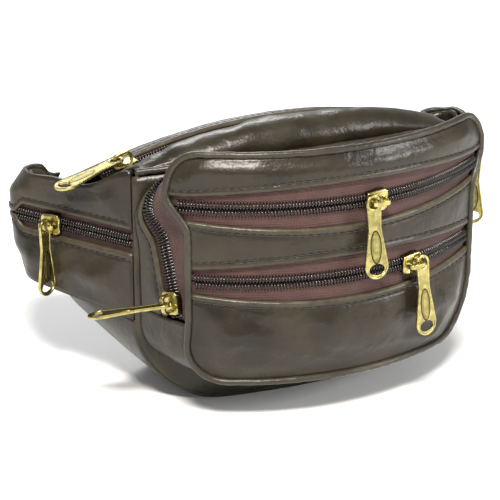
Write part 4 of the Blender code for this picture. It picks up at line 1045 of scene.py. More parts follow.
def round_bar(name, points, radius, finish, closed=False, sides=5):
    """A bar with a round section along points, as a mesh."""
    curve = bpy.data.curves.new(name, "CURVE")
    curve.dimensions = "3D"
    curve.bevel_depth = radius
    curve.bevel_resolution = sides
    curve.use_fill_caps = not closed
    spline = curve.splines.new("POLY")
    spline.points.add(len(points) - 1)
    for spot, place in zip(spline.points, points):
        spot.co = (*place, 1.0)
    spline.use_cyclic_u = closed
    mesh = plain_mesh(linked(name, curve), name)
    bm = bmesh.new()
    bm.from_mesh(mesh)
    bmesh.ops.remove_doubles(bm, verts=bm.verts, dist=1e-7)
    bmesh.ops.recalc_face_normals(bm, faces=bm.faces)
    bm.to_mesh(mesh)
    bm.free()
    return mesh_object(name, mesh, finish)


def piping(name, node, points, closed=False, depth=0.00022, size=0.0035):
    """A piped edge along points, with small wrinkles of this depth and size along its normals."""
    piece = round_bar(name, points, PIPING_RADIUS, piping_hide, closed)
    normals = [v.normal.copy() for v in piece.data.vertices]
    for vertex, normal in zip(piece.data.vertices, normals):
        vertex.co += normal * depth * wrinkle(vertex.co, size, 2.2)
    place_piece(piece, "pack", "piping_leather", node)


RING_POINTS, SEAM_STEPS = 420, 160
ring = []
for k in range(RING_POINTS):
    q = 2 * k / RING_POINTS
    width, z = pouch_edge(q if q <= 1 else 2 - q)
    ring.append(on_face(-width if q <= 1 else width, z))
piping("pouch_face_piping", "pouch_piping", ring, closed=True)
ends = MAIN_HALF_WIDTH - PIPING_RADIUS
seam = [(x, main_front_y(x) + 0.0002, main_seam_height(x) + PIPING_RADIUS * 0.6)
        for x in (ends * (2 * k / SEAM_STEPS - 1) for k in range(SEAM_STEPS + 1))]
piping("main_seam_piping", "main_top_piping", seam)
print("piping round the face:", len(ring), "points")

# %% [markdown]
# A coil zip is two woven tapes, each with a spiral of nylon sewn along its edge. The tape is cloth
# with a few raised cords along it, and the spiral shows as a row of small arched teeth, 1.27 mm apart
# on a size 5 zip. The tapes are shells like the leather, laid on the same surfaces a little deeper.

# %% Zip tapes
TAPE_RIBS = 0.0011  # between the cords woven into a tape
RIB_HEIGHT = 0.00010
WING_TAPE = 0.0085  # from the middle of a wing's zip to its tape's outer edge
LINE_STEPS = 220


def ribbed(name, point, size):
    """A tape on point(u, v), with v from the coil to its outer edge and fine cords along it."""
    columns = max(2, round(size[0] / 0.0012))
    rows = max(8, round(size[1] / 0.00028))
    outer, inner = [], []
    for i in range(columns + 1):
        u = i / columns
        line = [point(u, j / rows) for j in range(rows + 1)]
        ahead = point(min(u + 0.01, 1.0), 0.5) - point(max(u - 0.01, 0.0), 0.5)
        for j in range(rows + 1):
            across = line[min(j + 1, rows)] - line[max(j - 1, 0)]
            normal = ahead.cross(across).normalized()
            rib = RIB_HEIGHT * math.cos(2 * math.pi * j / rows * size[1] / TAPE_RIBS)
            outer.append(line[j] + normal * rib)
            inner.append(line[j] - normal * TAPE)
    return mesh_object(name, closed_mesh(name, outer, inner, columns + 1, rows + 1), zip_cloth)


def face_tape(height, side):
    def point(u, v):
        way = v if side > 0 else 1 - v
        z = height + side * mix(ZIP_SLIT, TAPE_HALF_WIDTH, way)
        along = (face_half_width(z, FACE_INSET) - 0.0003) * (2 * u - 1)
        flat = on_face(along, height, TAPE_DEPTH)
        return Vector((flat.x, flat.y, z))

    return point


def main_tape(side):
    def point(u, v):
        x = main_zip_reach() * (2 * u - 1)
        way = v if side > 0 else 1 - v
        return Vector((x, MAIN_ZIP_Y + side * mix(ZIP_SLIT, MAIN_TAPE_HALF_WIDTH, way), top_arc(x)))

    return point


def pouch_place(u):
    mark = mix(zip_start, 8 - zip_start, u)
    return mark, zip_share(mark)


def pouch_tape(side):
    def point(u, v):
        mark, share = pouch_place(u)
        across = gusset(mark, 1.0) - gusset(mark, 0.0)
        reach = across.length * min(0.26, 0.97 - share)
        if side < 0:
            reach = across.length * share - LEATHER - TAPE_END_GAP
        way = v if side > 0 else 1 - v
        if side > 0:
            return gusset(mark, share, POUCH_TAPE_DEPTH) + across.normalized() * mix(ZIP_SLIT, reach, way)
        near = share - mix(ZIP_SLIT, reach + LEATHER + GUSSET_START, way) / across.length
        depth = POUCH_TAPE_DEPTH * (1 - smooth((way - 0.45) / 0.5) * 0.85)
        return gusset(mark, near, depth)

    return point


def wing_tape(side, up):
    def point(u, v):
        way, rise = (u if side < 0 else 1 - u), (v if up > 0 else 1 - v)
        along = mix(0.0006, WING_STRAIGHT + 0.0015, way)
        z = WING_ZIP_HEIGHT + up * mix(ZIP_SLIT, WING_TAPE, rise)
        flat = mirrored(wing_line(along, WING_ZIP_HEIGHT, TAPE_DEPTH), side)
        return Vector((flat.x, flat.y, z))

    return point


tapes = {}
for name, height in (("upper", UPPER_ZIP), ("lower", LOWER_ZIP)):
    for edge, way in (("top", 1), ("bottom", -1)):
        tapes[f"{name}_zip_{edge}"] = (face_tape(height, way), (0.134, TAPE_HALF_WIDTH))
tapes["main_zip_rear"] = (main_tape(1), (0.160, MAIN_TAPE_HALF_WIDTH))
tapes["main_zip_front"] = (main_tape(-1), (0.160, MAIN_TAPE_HALF_WIDTH))
tapes["pouch_zip_rear"] = (pouch_tape(1), (0.280, 0.009))
tapes["pouch_zip_front"] = (pouch_tape(-1), (0.280, 0.014))
for name, side in (("left", 1), ("right", -1)):
    for edge, way in (("top", 1), ("bottom", -1)):
        tapes[f"{name}_wing_zip_{edge}"] = (wing_tape(side, way), (0.052, WING_TAPE))
for name, (point, size) in tapes.items():
    place_piece(ribbed(f"{name}_cloth", point, size), "pack", "zip_tape", f"{name}_tape")
print(len(tapes), "tapes")

# %% [markdown]
# Teeth and stitches are the same kind of thing: a short piece of round thread, bent in an arch, that
# repeats along a line on a surface. One Geometry Nodes tree makes both. It turns a line into points
# at a given pitch, puts an arch on each, turns it along the line and out of the surface with the
# stored normal, out, and flips it end for end on lines that belong to the other side of a zip.

# %% The tree that repeats an arch along lines
def arch_tree():
    tree = bpy.data.node_groups.new("arches_along_lines", "GeometryNodeTree")
    inputs = {"Geometry": "Geometry", "Start": "Vector", "Middle": "Vector", "End": "Vector",
              "Pitch": "Float", "Thread radius": "Float", "Bends": "Int", "Sides": "Int",
              "Finish": "Material"}
    for label, kind in inputs.items():
        tree.interface.new_socket(label, in_out="INPUT", socket_type="NodeSocket" + kind)
    tree.interface.new_socket("Geometry", in_out="OUTPUT", socket_type="NodeSocketGeometry")
    given = add(tree, "NodeGroupInput").outputs
    arch = add(tree, "GeometryNodeCurveQuadraticBezier", {
        "Resolution": given["Bends"],
        "Start": given["Start"], "Middle": given["Middle"], "End": given["End"]})
    round_ = add(tree, "GeometryNodeCurvePrimitiveCircle", {
        "Resolution": given["Sides"], "Radius": given["Thread radius"]})
    bar = add(tree, "GeometryNodeCurveToMesh", {
        "Curve": arch.outputs["Curve"], "Profile Curve": round_.outputs["Curve"], "Fill Caps": True})
    soft = add(tree, "GeometryNodeSetShadeSmooth", {"Geometry": bar.outputs["Mesh"]})
    lines = add(tree, "GeometryNodeMeshToCurve", {"Mesh": given["Geometry"]})
    spots = add(tree, "GeometryNodeCurveToPoints", {"Curve": lines.outputs["Curve"],
                                                    "Length": given["Pitch"]}, mode="LENGTH")
    normal = add(tree, "GeometryNodeInputNamedAttribute", {"Name": "out"}, data_type="FLOAT_VECTOR")
    flip = add(tree, "GeometryNodeInputNamedAttribute", {"Name": "flip"}, data_type="FLOAT")
    ahead = add(tree, "FunctionNodeAlignRotationToVector", {"Vector": spots.outputs["Tangent"]},
                axis="X")
    upright = add(tree, "FunctionNodeAlignRotationToVector", {
        "Rotation": ahead.outputs["Rotation"], "Vector": normal.outputs["Attribute"]},
        axis="Z", pivot_axis="X")
    turned = add(tree, "ShaderNodeMath", {0: flip.outputs["Attribute"], 1: math.pi},
                 operation="MULTIPLY")
    about = add(tree, "ShaderNodeCombineXYZ", {"Z": turned.outputs[0]})
    placed = add(tree, "GeometryNodeInstanceOnPoints", {
        "Points": spots.outputs["Points"], "Instance": soft.outputs["Geometry"],
        "Rotation": upright.outputs["Rotation"]})
    spun = add(tree, "GeometryNodeRotateInstances", {
        "Instances": placed.outputs["Instances"], "Rotation": about.outputs["Vector"]})
    whole = add(tree, "GeometryNodeRealizeInstances", {"Geometry": spun.outputs["Instances"]})
    coloured = add(tree, "GeometryNodeSetMaterial", {
        "Geometry": whole.outputs["Geometry"], "Material": given["Finish"]})
    add(tree, "NodeGroupOutput", {"Geometry": coloured.outputs["Geometry"]})
    return tree


arches = arch_tree()


def arches_on(name, lines, finish, **sizes):
    """One mesh of arches on lines of (place, normal, flip), with the tree's inputs set from sizes."""
    places, edges, outs, flips = [], [], [], []
    for line in lines:
        start = len(places)
        for place, out, flip in line:
            places.append(tuple(place))
            outs += list(out)
            flips.append(flip)
        edges += [(k, k + 1) for k in range(start, len(places) - 1)]
    mesh = bpy.data.meshes.new(name + "_lines")
    mesh.from_pydata(places, edges, [])
    mesh.attributes.new("out", "FLOAT_VECTOR", "POINT").data.foreach_set("vector", outs)
    mesh.attributes.new("flip", "FLOAT", "POINT").data.foreach_set("value", flips)
    helper = linked(name, mesh)
    repeat = helper.modifiers.new("repeat", "NODES")
    repeat.node_group = arches
    inputs = [item for item in arches.interface.items_tree if item.in_out == "INPUT"]
    identifiers = {item.name: item.identifier for item in inputs}
    for label, value in {**sizes, "Finish": finish}.items():
        repeat[identifiers[label]] = value
    made = plain_mesh(helper, name)
    for spare in ("out", "flip"):
        if spare in made.attributes:
            made.attributes.remove(made.attributes[spare])
    print(name, len(lines), "lines,", len(made.polygons), "faces")
    return mesh_object(name, made, finish)


# %% [markdown]
# Each zip gets its two rows of teeth. The second row starts half a pitch on, so the heads mesh. The
# teeth of both rows start at the middle, and each arches over to the sewn edge of its tape. A spot of
# a zip is its place, the way out of the tape and the way ahead, and the sliders use the spots too.

# %% Coil teeth
TOOTH_PITCH = 0.00127
TOOTH_RADIUS = 0.00036
TEETH_IN = 0.0022  # of a face zip's last tooth from the edge of the face


def rows_of(centre):
    """Two lines of teeth on centre(t), which gives (place, out, along) for t from 0 to 1."""
    rows = []
    for flip in (0.0, 1.0):
        line = []
        for k in range(LINE_STEPS + 1):
            place, out, ahead = centre(k / LINE_STEPS)
            line.append((place + ahead * flip * TOOTH_PITCH / 2, out, flip))
        rows.append(line)
    return rows


def face_spot(along, height):
    out = face_normal(along)
    return on_face(along, height, TAPE_DEPTH), out, Vector((-out.y, out.x, 0))


def main_spot(x):
    tilt = math.asin(x / TOP_ARC_RADIUS)
    return (Vector((x, MAIN_ZIP_Y, top_arc(x))), Vector((math.sin(tilt), 0, math.cos(tilt))),
            Vector((math.cos(tilt), 0, -math.sin(tilt))))


def pouch_spot(mark, step):
    """The way ahead is to the place step further on."""
    place, beyond = (gusset(m, zip_share(m), POUCH_TAPE_DEPTH) for m in (mark, mark + step))
    return place, gusset_normal(mark, zip_share(mark)), (beyond - place).normalized()


def wing_spot(along, side):
    place = mirrored(wing_line(along, WING_ZIP_HEIGHT, TAPE_DEPTH), side)
    return place, Vector((-WING_SIN * side, -WING_COS, 0)), Vector((-WING_COS * side, WING_SIN, 0))


def face_chain(height):
    return lambda t: face_spot((face_half_width(height, FACE_INSET) - TEETH_IN) * (2 * t - 1), height)


def wing_chain(side):
    return lambda t: wing_spot(mix(0.0014, WING_STRAIGHT, t), side)


chains = {"upper": face_chain(UPPER_ZIP), "lower": face_chain(LOWER_ZIP),
          "main": lambda t: main_spot((main_zip_reach() - 0.001) * (2 * t - 1)),
          "pouch": lambda t: pouch_spot(pouch_place(mix(0.003, 0.994, t))[0], 0.02),
          "left_wing": wing_chain(1), "right_wing": wing_chain(-1)}
for name, centre in chains.items():
    teeth = arches_on(f"{name}_zip_coil", rows_of(centre), coil_nylon, **{
        "Start": (0, 0.00015, 0.00045), "Middle": (0, 0.0014, 0.0030), "End": (0, 0.0029, 0.0001),
        "Pitch": TOOTH_PITCH, "Thread radius": TOOTH_RADIUS, "Bends": 6, "Sides": 6})
    place_piece(teeth, "pack", "zip_tape")

# %% [markdown]
# Stitches: bonded thread 0.7 mm thick, one every 3.2 mm, pulled down into the groove at both ends.
# The lines were kept as each shell was built.

# %% Stitches
STITCH_PITCH = 0.0032
STITCH_RADIUS = 0.00034
sewn = [[(place, out, 0.0) for place, out in line[2:-2]] for line in stitch_lines]
seams = arches_on("panel_stitches", sewn, thread, **{
    "Start": (-0.0012, 0, -0.0001), "Middle": (0, 0, 0.00075), "End": (0.0012, 0, -0.0001),
    "Pitch": STITCH_PITCH, "Thread radius": STITCH_RADIUS, "Bends": 6, "Sides": 6})
place_piece(seams, "pack", "leather")

# %% [markdown]
# A zip slider is die-cast: a top plate with broad shoulders at the front, side walls that hold the
# coil, a neck and an under plate, and a bridge on top that the pull hangs from. Every edge is tumbled
# round. It is modelled once, along X with Z out of the tape, and each zip gets a copy in place.

# %% The slider
SLIDER_HALF = SLIDER_LENGTH / 2
LID = COIL_HEIGHT + SLIDER_CLEARANCE + SLIDER_PLATE


def slab(bm, outline, low, high, round_by):
    """A plate between two heights, with its edges rounded."""
    lower = [bm.verts.new((x, y, low)) for x, y in outline]
    upper = [bm.verts.new((x, y, high)) for x, y in outline]
    count = len(outline)
    ends = [bm.faces.new(lower[::-1]), bm.faces.new(upper)]
    for k in range(count):
        after = (k + 1) % count
        bm.faces.new((lower[k], lower[after], upper[after], upper[k]))
    rims = list({edge for face in ends for edge in face.edges})
    bmesh.ops.bevel(bm, geom=rims, offset=round_by, segments=3, profile=0.5, affect="EDGES")


def rectangle(low_x, low_y, high_x, high_y):
    return [(low_x, low_y), (high_x, low_y), (high_x, high_y), (low_x, high_y)]


def finished(bm, name):
    """A mesh from a bmesh, with its faces turned outwards."""
    bmesh.ops.recalc_face_normals(bm, faces=bm.faces)
    mesh = bpy.data.meshes.new(name)
    bm.to_mesh(mesh)
    bm.free()
    return mesh


def rounded(points, radius, steps=5):
    """An outline with its corners rounded."""
    made = []
    for before, here, after in zip(points[-1:] + points[:-1], points, points[1:] + points[:1]):
        here, a, b = Vector(here), Vector(before), Vector(after)
        start = here + (a - here).normalized() * min(radius, (a - here).length / 2)
        end = here + (b - here).normalized() * min(radius, (b - here).length / 2)
        for k in range(steps + 1):
            t = k / steps
            made.append(tuple(start.lerp(here, t).lerp(here.lerp(end, t), t)))
    return made


def swept(bm, path, half_y, half_z, round_by):
    """A flat bar that follows a path in the XZ plane, with a rounded section."""
    section = rounded(rectangle(-half_y, -half_z, half_y, half_z), round_by, 3)
    rings = []
    for k, place in enumerate(path):
        run = (Vector(path[min(k + 1, len(path) - 1)]) - Vector(path[max(k - 1, 0)])).normalized()
        up = Vector((-run.y, run.x))
        rings.append([bm.verts.new((place[0] + up.x * b, a, place[1] + up.y * b)) for a, b in section])
    for near, far in zip(rings, rings[1:]):
        for k in range(len(section)):
            bm.faces.new((near[k], near[(k + 1) % len(section)], far[(k + 1) % len(section)], far[k]))
    bm.faces.new(rings[0][::-1])
    bm.faces.new(rings[-1])


def slider_shape():
    bm = bmesh.new()
    wide = SLIDER_HALF_WIDTH
    narrow = wide * 0.80
    plan = rounded([(-SLIDER_HALF, -narrow), (SLIDER_HALF * 0.15, -wide), (SLIDER_HALF * 0.72, -wide),
                    (SLIDER_HALF, -wide * 0.62), (SLIDER_HALF * 0.86, 0.0), (SLIDER_HALF, wide * 0.62),
                    (SLIDER_HALF * 0.72, wide), (SLIDER_HALF * 0.15, wide), (-SLIDER_HALF, narrow)], 0.0014)
    slab(bm, plan, LID - SLIDER_PLATE, LID, 0.00035)
    slab(bm, [(x * 0.96, y * 0.98) for x, y in plan], -TAPE - SLIDER_CLEARANCE - SLIDER_PLATE,
         -TAPE - SLIDER_CLEARANCE, 0.0003)
    for side in (-1, 1):
        inner, outer = side * (COIL_HALF_WIDTH + SLIDER_CLEARANCE), side * (wide - 0.0001)
        wall = [(-SLIDER_HALF * 0.9, inner * 0.97), (SLIDER_HALF * 0.70, inner), (SLIDER_HALF * 0.70, outer),
                (SLIDER_HALF * 0.15, outer), (-SLIDER_HALF * 0.9, outer * 0.84)]
        slab(bm, wall if side > 0 else wall[::-1], SLIDER_CLEARANCE, LID - SLIDER_PLATE * 0.5, 0.0002)
    neck = ZIP_SLIT - SLIDER_CLEARANCE * 0.8
    slab(bm, rectangle(SLIDER_HALF * 0.1, -neck, SLIDER_HALF * 0.9, neck),
         -TAPE - SLIDER_CLEARANCE * 1.5, LID - SLIDER_PLATE * 0.5, 0.00005)
    top, reach = LID + BRIDGE_RISE + BRIDGE_BAR / 2, BRIDGE_LEG_OFFSET
    bend = 0.0012
    arch = [(-reach, LID - 0.0003), (-reach, LID + 0.0008), (-reach, top - bend)]
    arch += [(-reach + bend - bend * math.cos(a), top - bend + bend * math.sin(a))
             for a in (math.pi / 8, math.pi / 4, 3 * math.pi / 8, math.pi / 2)]
    arch += [(0.0, top + 0.0001)] + [(-x, z) for x, z in arch[::-1]]
    swept(bm, arch, BRIDGE_WIDTH / 2, BRIDGE_BAR / 2, 0.0003)
    sunk = bm.verts.layers.float.new("sunk")
    for vertex in bm.verts:
        vertex[sunk] = 1.0 - smooth((vertex.co.z - LID + SLIDER_PLATE) / SLIDER_PLATE)
    return finished(bm, "slider")


slider_mesh = slider_shape()
print("slider:", len(slider_mesh.polygons), "faces")

# %% [markdown]
# The pull is a stamped teardrop, 1.3 mm thick, with a raised rim, a round eye for the bridge and an
# oblong window in its lobe. Between them a raised oval lies in a brown groove and carries a plain bar.
# The real ones are embossed with lettering, which is left off. A flat curve with inner loops makes
# each layer, and its bevel rounds the edges.

# %% The pull
def ellipse(cx, cy, rx, ry, count=28):
    return [(cx + rx * math.cos(2 * math.pi * k / count), cy + ry * math.sin(2 * math.pi * k / count))
            for k in range(count)]


LOBE = PULL_LOBE + 0.0008  # the raised rim is cast a little outside the blank
RIM = 0.0009  # width of the raised rims


def pull_outline(inset):
    """The teardrop, kept inset metres inside its full size."""
    top = PULL_HOLE + PULL_RIM
    waist = -0.30 * PULL_LENGTH
    neck, lobe = PULL_NECK - inset, LOBE - inset
    lobe_y = -PULL_LENGTH + top + LOBE
    points = [(neck * math.cos(math.pi * k / 16), top - PULL_NECK + neck * math.sin(math.pi * k / 16))
              for k in range(17)]
    points.append((-PULL_NECK * 0.86 + inset, waist))
    points += [(-lobe * math.cos(math.pi * k / 20), lobe_y - lobe * math.sin(math.pi * k / 20))
               for k in range(21)]
    points.append((PULL_NECK * 0.86 - inset, waist))
    return points


def stamped(name, loops, thickness, round_by):
    """A flat layer of metal inside its loops, with rounded edges."""
    curve = bpy.data.curves.new(name, "CURVE")
    curve.dimensions = "2D"
    curve.fill_mode = "BOTH"
    curve.extrude = thickness / 2 - round_by
    curve.bevel_depth = round_by
    curve.bevel_resolution = 2
    curve.offset = -round_by
    for points in loops:
        spline = curve.splines.new("POLY")
        spline.points.add(len(points) - 1)
        for spot, place in zip(spline.points, points):
            spot.co = (*place, 0.0, 1.0)
        spline.use_cyclic_u = True
    return plain_mesh(linked(name, curve), name)


def pull_shape():
    lobe_y = -PULL_LENGTH + PULL_HOLE + PULL_RIM + LOBE
    island_y = PULL_HOLE + PULL_RIM - PULL_LENGTH * 0.62
    eye = ellipse(0, 0, PULL_HOLE, PULL_HOLE)
    window = ellipse(0, lobe_y - LOBE * 0.26, LOBE * 0.66, LOBE * 0.42)
    island = ellipse(0, island_y, 0.0027, 0.0070)
    bar = rounded(rectangle(-0.0011, island_y - 0.0048, 0.0011, island_y + 0.0048), 0.0004)
    eye_rim = ellipse(0, 0, PULL_HOLE + RIM, PULL_HOLE + RIM)
    layers = {  # loops, thickness as a share of the pull's, rounding, and how brown: sunk
        "rim": ([pull_outline(0.0), pull_outline(RIM)], 1.0, 0.00030, 0.0),
        "web": ([pull_outline(0.0005), eye, window], 0.62, 0.00010, 0.12),
        "eye_rim": ([eye_rim, eye], 1.0, 0.00028, 0.0),
        "groove": ([island], 0.66, 0.00005, 1.0),
        "island": ([ellipse(0, island_y, 0.0021, 0.0063)], 0.78, 0.00012, 0.55),
        "bar": ([bar], 0.86, 0.00008, 0.30),
    }
    bm = bmesh.new()
    sunk = bm.verts.layers.float.new("sunk")
    for name, (loops, share, round_by, depth) in layers.items():
        known = len(bm.verts)
        bm.from_mesh(stamped(name, loops, PULL_THICKNESS * share, round_by))
        bm.verts.ensure_lookup_table()
        for vertex in bm.verts[known:]:
            vertex[sunk] = depth
    return finished(bm, "pull")


pull_mesh = pull_shape()
print("pull:", len(pull_mesh.polygons), "faces")

# %% [markdown]
# On the two face pockets and the top zip the pull hangs from one leg of the bridge and lies nearly
# flat. On the pouch's own zip and the wings it hangs across the zip, from the bridge's bar.

# %% Sliders and pulls in place
def set_out(name, mesh, origin, x, z, body):
    """A copy of a metal part with its X along x and its Z along z. Its body has the node's name."""
    x = x.normalized()
    z = (z - x * z.dot(x)).normalized()
    turn = Matrix((x, z.cross(x), z)).transposed().to_4x4()
    copy = mesh.copy()
    copy.transform(Matrix.Translation(origin) @ turn)
    copy.update()
    return place_piece(mesh_object(name, copy, brass), body, "brass", body)


def hang_flat(name, origin, along, out, leg, hang):
    """A pull on one leg of the bridge, nearly flat, that points the way of hang."""
    centre = origin + along * (leg * BRIDGE_LEG_OFFSET) + out * (LID + BRIDGE_RISE * 0.60)
    across = out.cross(hang)
    tilted = Matrix.Rotation(-PULL_TILT, 3, across) @ out
    set_out(f"{name}_zip_pull", pull_mesh, centre, across, tilted, f"{name}_pull")


def hang_edge(name, origin, along, out, hang):
    """A pull on the bridge's bar, edge on to the zip."""
    centre = origin + out * (LID + BRIDGE_RISE + BRIDGE_BAR / 2)
    set_out(f"{name}_zip_pull", pull_mesh, centre, along.cross(hang), along, f"{name}_pull")


def slide_on(name, origin, along, out):
    set_out(f"{name}_zip_slider", slider_mesh, origin, along, out, f"{name}_slider")


DOWN = Vector((0, 0, -1))
rests = (("upper", UPPER_ZIP, UPPER_REST, -1), ("lower", LOWER_ZIP, LOWER_REST, 1))
for name, height, rest, leg in rests:
    origin, out, along = face_spot(rest, height)
    slide_on(name, origin, along, out)
    hang_flat(name, origin, along, out, leg, DOWN)

origin, out, along = main_spot(SLIDER_LENGTH - main_zip_reach())
slide_on("main", origin, along, out)
hang_flat("main", origin, along, out, -1, Matrix.Rotation(MAIN_PULL_TURN, 3, out) @ -along)

origin, out, along = pouch_spot(zip_start + 0.13, 0.35)
slide_on("pouch", origin, along, out)
hang_edge("pouch", origin, along, out, Matrix.Rotation(POUCH_PULL_TURN, 3, along) @ out)

for name, side in (("left_wing", 1), ("right_wing", -1)):
    origin, out, back = wing_spot(WING_SLIDER_REST, side)
    slide_on(name, origin, -back, out)
    hang_edge(name, origin, -back, out, DOWN)
print("six sliders and pulls in place")

# %% [markdown]
# The belt is flat webbing, 30 mm wide and 1.5 mm thick. It is sewn into each wing's end, loops round a
# bar of the buckle and comes back behind itself. Webbing has rounded selvedges and a ribbed face, so
# its shell swells a little in ribs across its width. The spare length is folded in a flat hank.

# %% Webbing
RIB_SPACING = 0.0022
SECTION = 24  # points round a strap's section
LAYER_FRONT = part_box("left_webbing")[0].y + WEBBING / 2
LAYER_REAR = LAYER_FRONT + LOOP_GAP + WEBBING
BUCKLE_Y = (LAYER_FRONT + LAYER_REAR) / 2
SEWN = abs(wing_line(WING_LENGTH, BELT_HEIGHT).x) + WING_TAIL * 0.75


def band_along(name, path, thick=WEBBING):
    """A strap whose middle follows a path in the XY plane, with ribs across it and soft selvedges."""
    length = [0.0]
    for a, b in zip(path, path[1:]):
        length.append(length[-1] + math.dist(a, b))
    count = max(12, round(length[-1] / (RIB_SPACING / 6)))
    section = []
    for k in range(SECTION):
        a = 2 * math.pi * (k + 0.5) / SECTION
        c, s = math.cos(a), math.sin(a)
        flat = (WEBBING_WIDTH / 2 - thick / 2) * (1 if c > 0 else -1) * min(1.0, abs(c) * 1.25)
        section.append((flat + thick / 2 * c, thick / 2 * math.copysign(abs(s) ** 0.35, s)))
    bm = bmesh.new()
    rings, spot = [], 0
    for i in range(count + 1):
        at = length[-1] * i / count
        while spot < len(path) - 2 and length[spot + 1] < at:
            spot += 1
        share = (at - length[spot]) / (length[spot + 1] - length[spot])
        a, b = Vector(path[spot]), Vector(path[spot + 1])
        here = a.lerp(b, share)
        before, after = Vector(path[max(spot - 1, 0)]), Vector(path[min(spot + 2, len(path) - 1)])
        run = (b - before).lerp(after - a, share).normalized()
        swell = 1 + 0.10 * math.cos(2 * math.pi * at / RIB_SPACING)
        rings.append([bm.verts.new((here.x - run.y * out * swell, here.y + run.x * out * swell,
                                    BELT_HEIGHT + z)) for z, out in section])
    for near, far in zip(rings, rings[1:]):
        for k in range(SECTION):
            after = (k + 1) % SECTION
            bm.faces.new((near[k], far[k], far[after], near[after]))
    bm.faces.new(rings[0])
    bm.faces.new(rings[-1][::-1])
    print(name, round(length[-1], 4), "m")
    return mesh_object(name, finished(bm, name), webbing_cloth)


def looped(bar, back_to, side):
    """From the wing's end to a half turn round a bar of the buckle, and back along the rear layer."""
    bar -= side * 0.0007
    reach = (LAYER_REAR - LAYER_FRONT) / 2
    path = [(side * SEWN, LAYER_FRONT), (mix(side * SEWN, bar, 0.5), LAYER_FRONT), (bar, LAYER_FRONT)]
    for k in range(1, 12):
        turn = math.pi * k / 12
        path.append((bar - side * reach * math.sin(turn), BUCKLE_Y - reach * math.cos(turn)))
    return path + [(bar, LAYER_REAR), (mix(bar, back_to, 0.5), LAYER_REAR), (back_to, LAYER_REAR)]


SOCKET_END = BUCKLE_MOUTH - SOCKET_LENGTH - STRAP_SLOT - STRAP_BAR
PLUG_BAR = BUCKLE_MOUTH + BUCKLE_GAP + 0.0100
left = band_along("left_belt", looped(SOCKET_END + STRAP_BAR / 2, SOCKET_END - 0.026, -1))
right = band_along("right_belt", looped(PLUG_BAR, HANK_START - 0.0015, 1))
place_piece(right, "pack", "webbing", "right_webbing")
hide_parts("left_webbing")
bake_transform(left)

# %% [markdown]
# The hank is the belt's spare length, folded to and fro in seven layers, and a loop of elastic keeps
# it flat. The folds are drawn as one strap that turns at each end.

# %% Hank and keeper
hank_low, hank_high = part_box("webbing_hank")
FOLD_ROOM = 0.0012
KEEPER_BULGE = 0.00045
# Across the keeper: shares of its half width, and of its bulge.
KEEPER_SECTION = ((-1, -1), (-0.96, 0.6), (-0.9, 1), (-0.5, 0.8), (0, 1), (0.5, 0.8), (0.9, 1),
                  (0.96, 0.6), (1, -1))
thin = (hank_high.y - hank_low.y) / HANK_LAYERS
path = []
for layer in range(HANK_LAYERS):
    y = hank_low.y + thin * (layer + 0.5)
    ends = (hank_low.x + FOLD_ROOM, hank_high.x - FOLD_ROOM)
    start, end = ends if layer % 2 == 0 else ends[::-1]
    path += [(mix(start, end, k / 4), y) for k in range(5)]
    if layer < HANK_LAYERS - 1:
        way = 1 if layer % 2 == 0 else -1
        path += [(end + way * thin / 2 * math.sin(a), y + thin / 2 - thin / 2 * math.cos(a))
                 for a in (math.pi / 4, math.pi / 2, 3 * math.pi / 4)]
hank = band_along("folded_spare_belt", path, thick=thin * 0.93)
place_piece(hank, "pack", "webbing", "webbing_hank")
keeper_low, keeper_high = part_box("elastic_keeper")
middle = (keeper_low + keeper_high) / 2
half_x, half_y, half_z = (keeper_high - keeper_low) / 2 - Vector((0.0, 0.0005, 0.0005))
ring = rounded(rectangle(-half_y, -half_z, half_y, half_z), 0.0012, 6)
bm = bmesh.new()
stations = []
for k, (y, z) in enumerate(ring):
    before, after = Vector(ring[k - 1]), Vector(ring[(k + 1) % len(ring)])
    run = (after - before).normalized()
    out = Vector((run.y, -run.x))
    stations.append([bm.verts.new(middle + Vector((
        x * half_x, y + out.x * rise * KEEPER_BULGE, z + out.y * rise * KEEPER_BULGE)))
        for x, rise in KEEPER_SECTION])
for k, near in enumerate(stations):
    far = stations[(k + 1) % len(stations)]
    for j in range(len(near)):
        after = (j + 1) % len(near)
        bm.faces.new((near[j], far[j], far[after], near[after]))
keeper = mesh_object("elastic_loop", finished(bm, "elastic_loop"), elastic_cloth)
place_piece(keeper, "pack", "elastic", "elastic_keeper")
print("hank layer", round(thin * 1000, 2), "mm")

# %% [markdown]
# The buckle is a side-release one in acetal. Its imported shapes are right, so each is copied, cleaned
# of the triangles that flat faces don't need, and given the small radius that a moulding has.

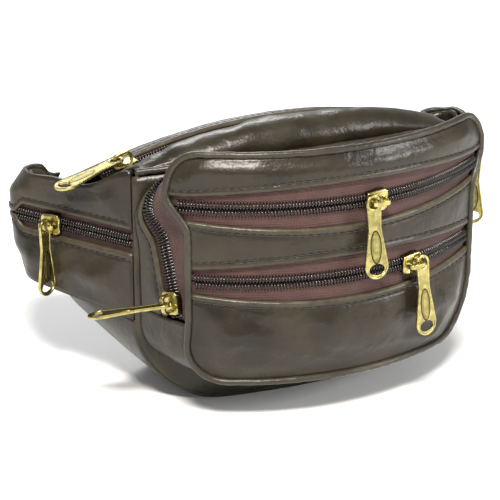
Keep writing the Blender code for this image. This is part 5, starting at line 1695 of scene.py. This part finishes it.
# %% Buckle
def moulded(name, node, radius, body):
    """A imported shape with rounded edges."""
    bm = bmesh.new()
    bm.from_mesh(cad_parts[node].data)
    bmesh.ops.remove_doubles(bm, verts=bm.verts, dist=1e-6)
    bmesh.ops.dissolve_limit(bm, angle_limit=math.radians(1), verts=bm.verts, edges=bm.edges)
    mesh = bpy.data.meshes.new(name)
    bm.to_mesh(mesh)
    bm.free()
    helper = linked(name, mesh)
    edges = helper.modifiers.new("moulded_edges", "BEVEL")
    edges.width, edges.segments, edges.limit_method = radius, 3, "ANGLE"
    edges.angle_limit = math.radians(30)
    edges.harden_normals = False
    made = mesh_object(name, plain_mesh(helper, name), acetal)
    return place_piece(made, body, "acetal", node)


moulded("buckle_female_half", "buckle_socket", 0.0005, "buckle_socket")
moulded("buckle_male_half", "buckle_plug", 0.0005, "pack")
moulded("buckle_prong_upper", "buckle_upper_prong", 0.0004, "buckle_upper_prong")
moulded("buckle_prong_lower", "buckle_lower_prong", 0.0004, "buckle_lower_prong")

# %% [markdown]
# The back is padded with foam between its leather and the lining. The pad is hidden in the closed
# compartment. It is a block of foam, so it swells a little in a cloth simulation: a closed mesh,
# remeshed in small voxels, blown up by a gentle pressure and held near its own shape.

# %% The back's foam pad
PAD_DEPTH = LEATHER + TOUCH_GAP
FOAM_THICK = 0.0032
PAD_CAP = 0.0007


def pad(u, v):
    return main_back(u, v, 0.009, PAD_DEPTH)


FRAMES, VOXEL, PRESSURE = 20, 0.0016, 4.0
foam = shell("back_foam_pad", pad, (0.155, 0.080), [], foam_cloth, FOAM_THICK, 0.0, 0.0, 0.004)
remesh = foam.modifiers.new("voxels", "REMESH")
remesh.mode, remesh.voxel_size = "VOXEL", VOXEL
mesh = plain_mesh(foam, "back_foam_pad")
foam = mesh_object("back_foam_pad", mesh, foam_cloth)
rest = [v.co.copy() for v in foam.data.vertices]
swell = foam.modifiers.new("swell", "CLOTH")
swell.settings.use_pressure = True
swell.settings.uniform_pressure_force = PRESSURE
swell.settings.effector_weights.gravity = 0.0
swell.point_cache.frame_start, swell.point_cache.frame_end = 1, FRAMES
for number in range(1, FRAMES + 1):
    bpy.context.scene.frame_set(number)
swollen = foam.evaluated_get(bpy.context.evaluated_depsgraph_get()).to_mesh()
moved = [v.co.copy() for v in swollen.vertices]
foam.modifiers.remove(swell)
bpy.context.scene.frame_set(1)
for vertex, start, end in zip(foam.data.vertices, rest, moved):
    step = end - start
    vertex.co = start + step * min(1.0, PAD_CAP / max(step.length, 1e-9))
    vertex.co.y = min(vertex.co.y, BACK_Y - PAD_DEPTH)
place_piece(foam, "pack", "foam", "main_back_foam")
print("foam pad:", len(foam.data.vertices), "points")
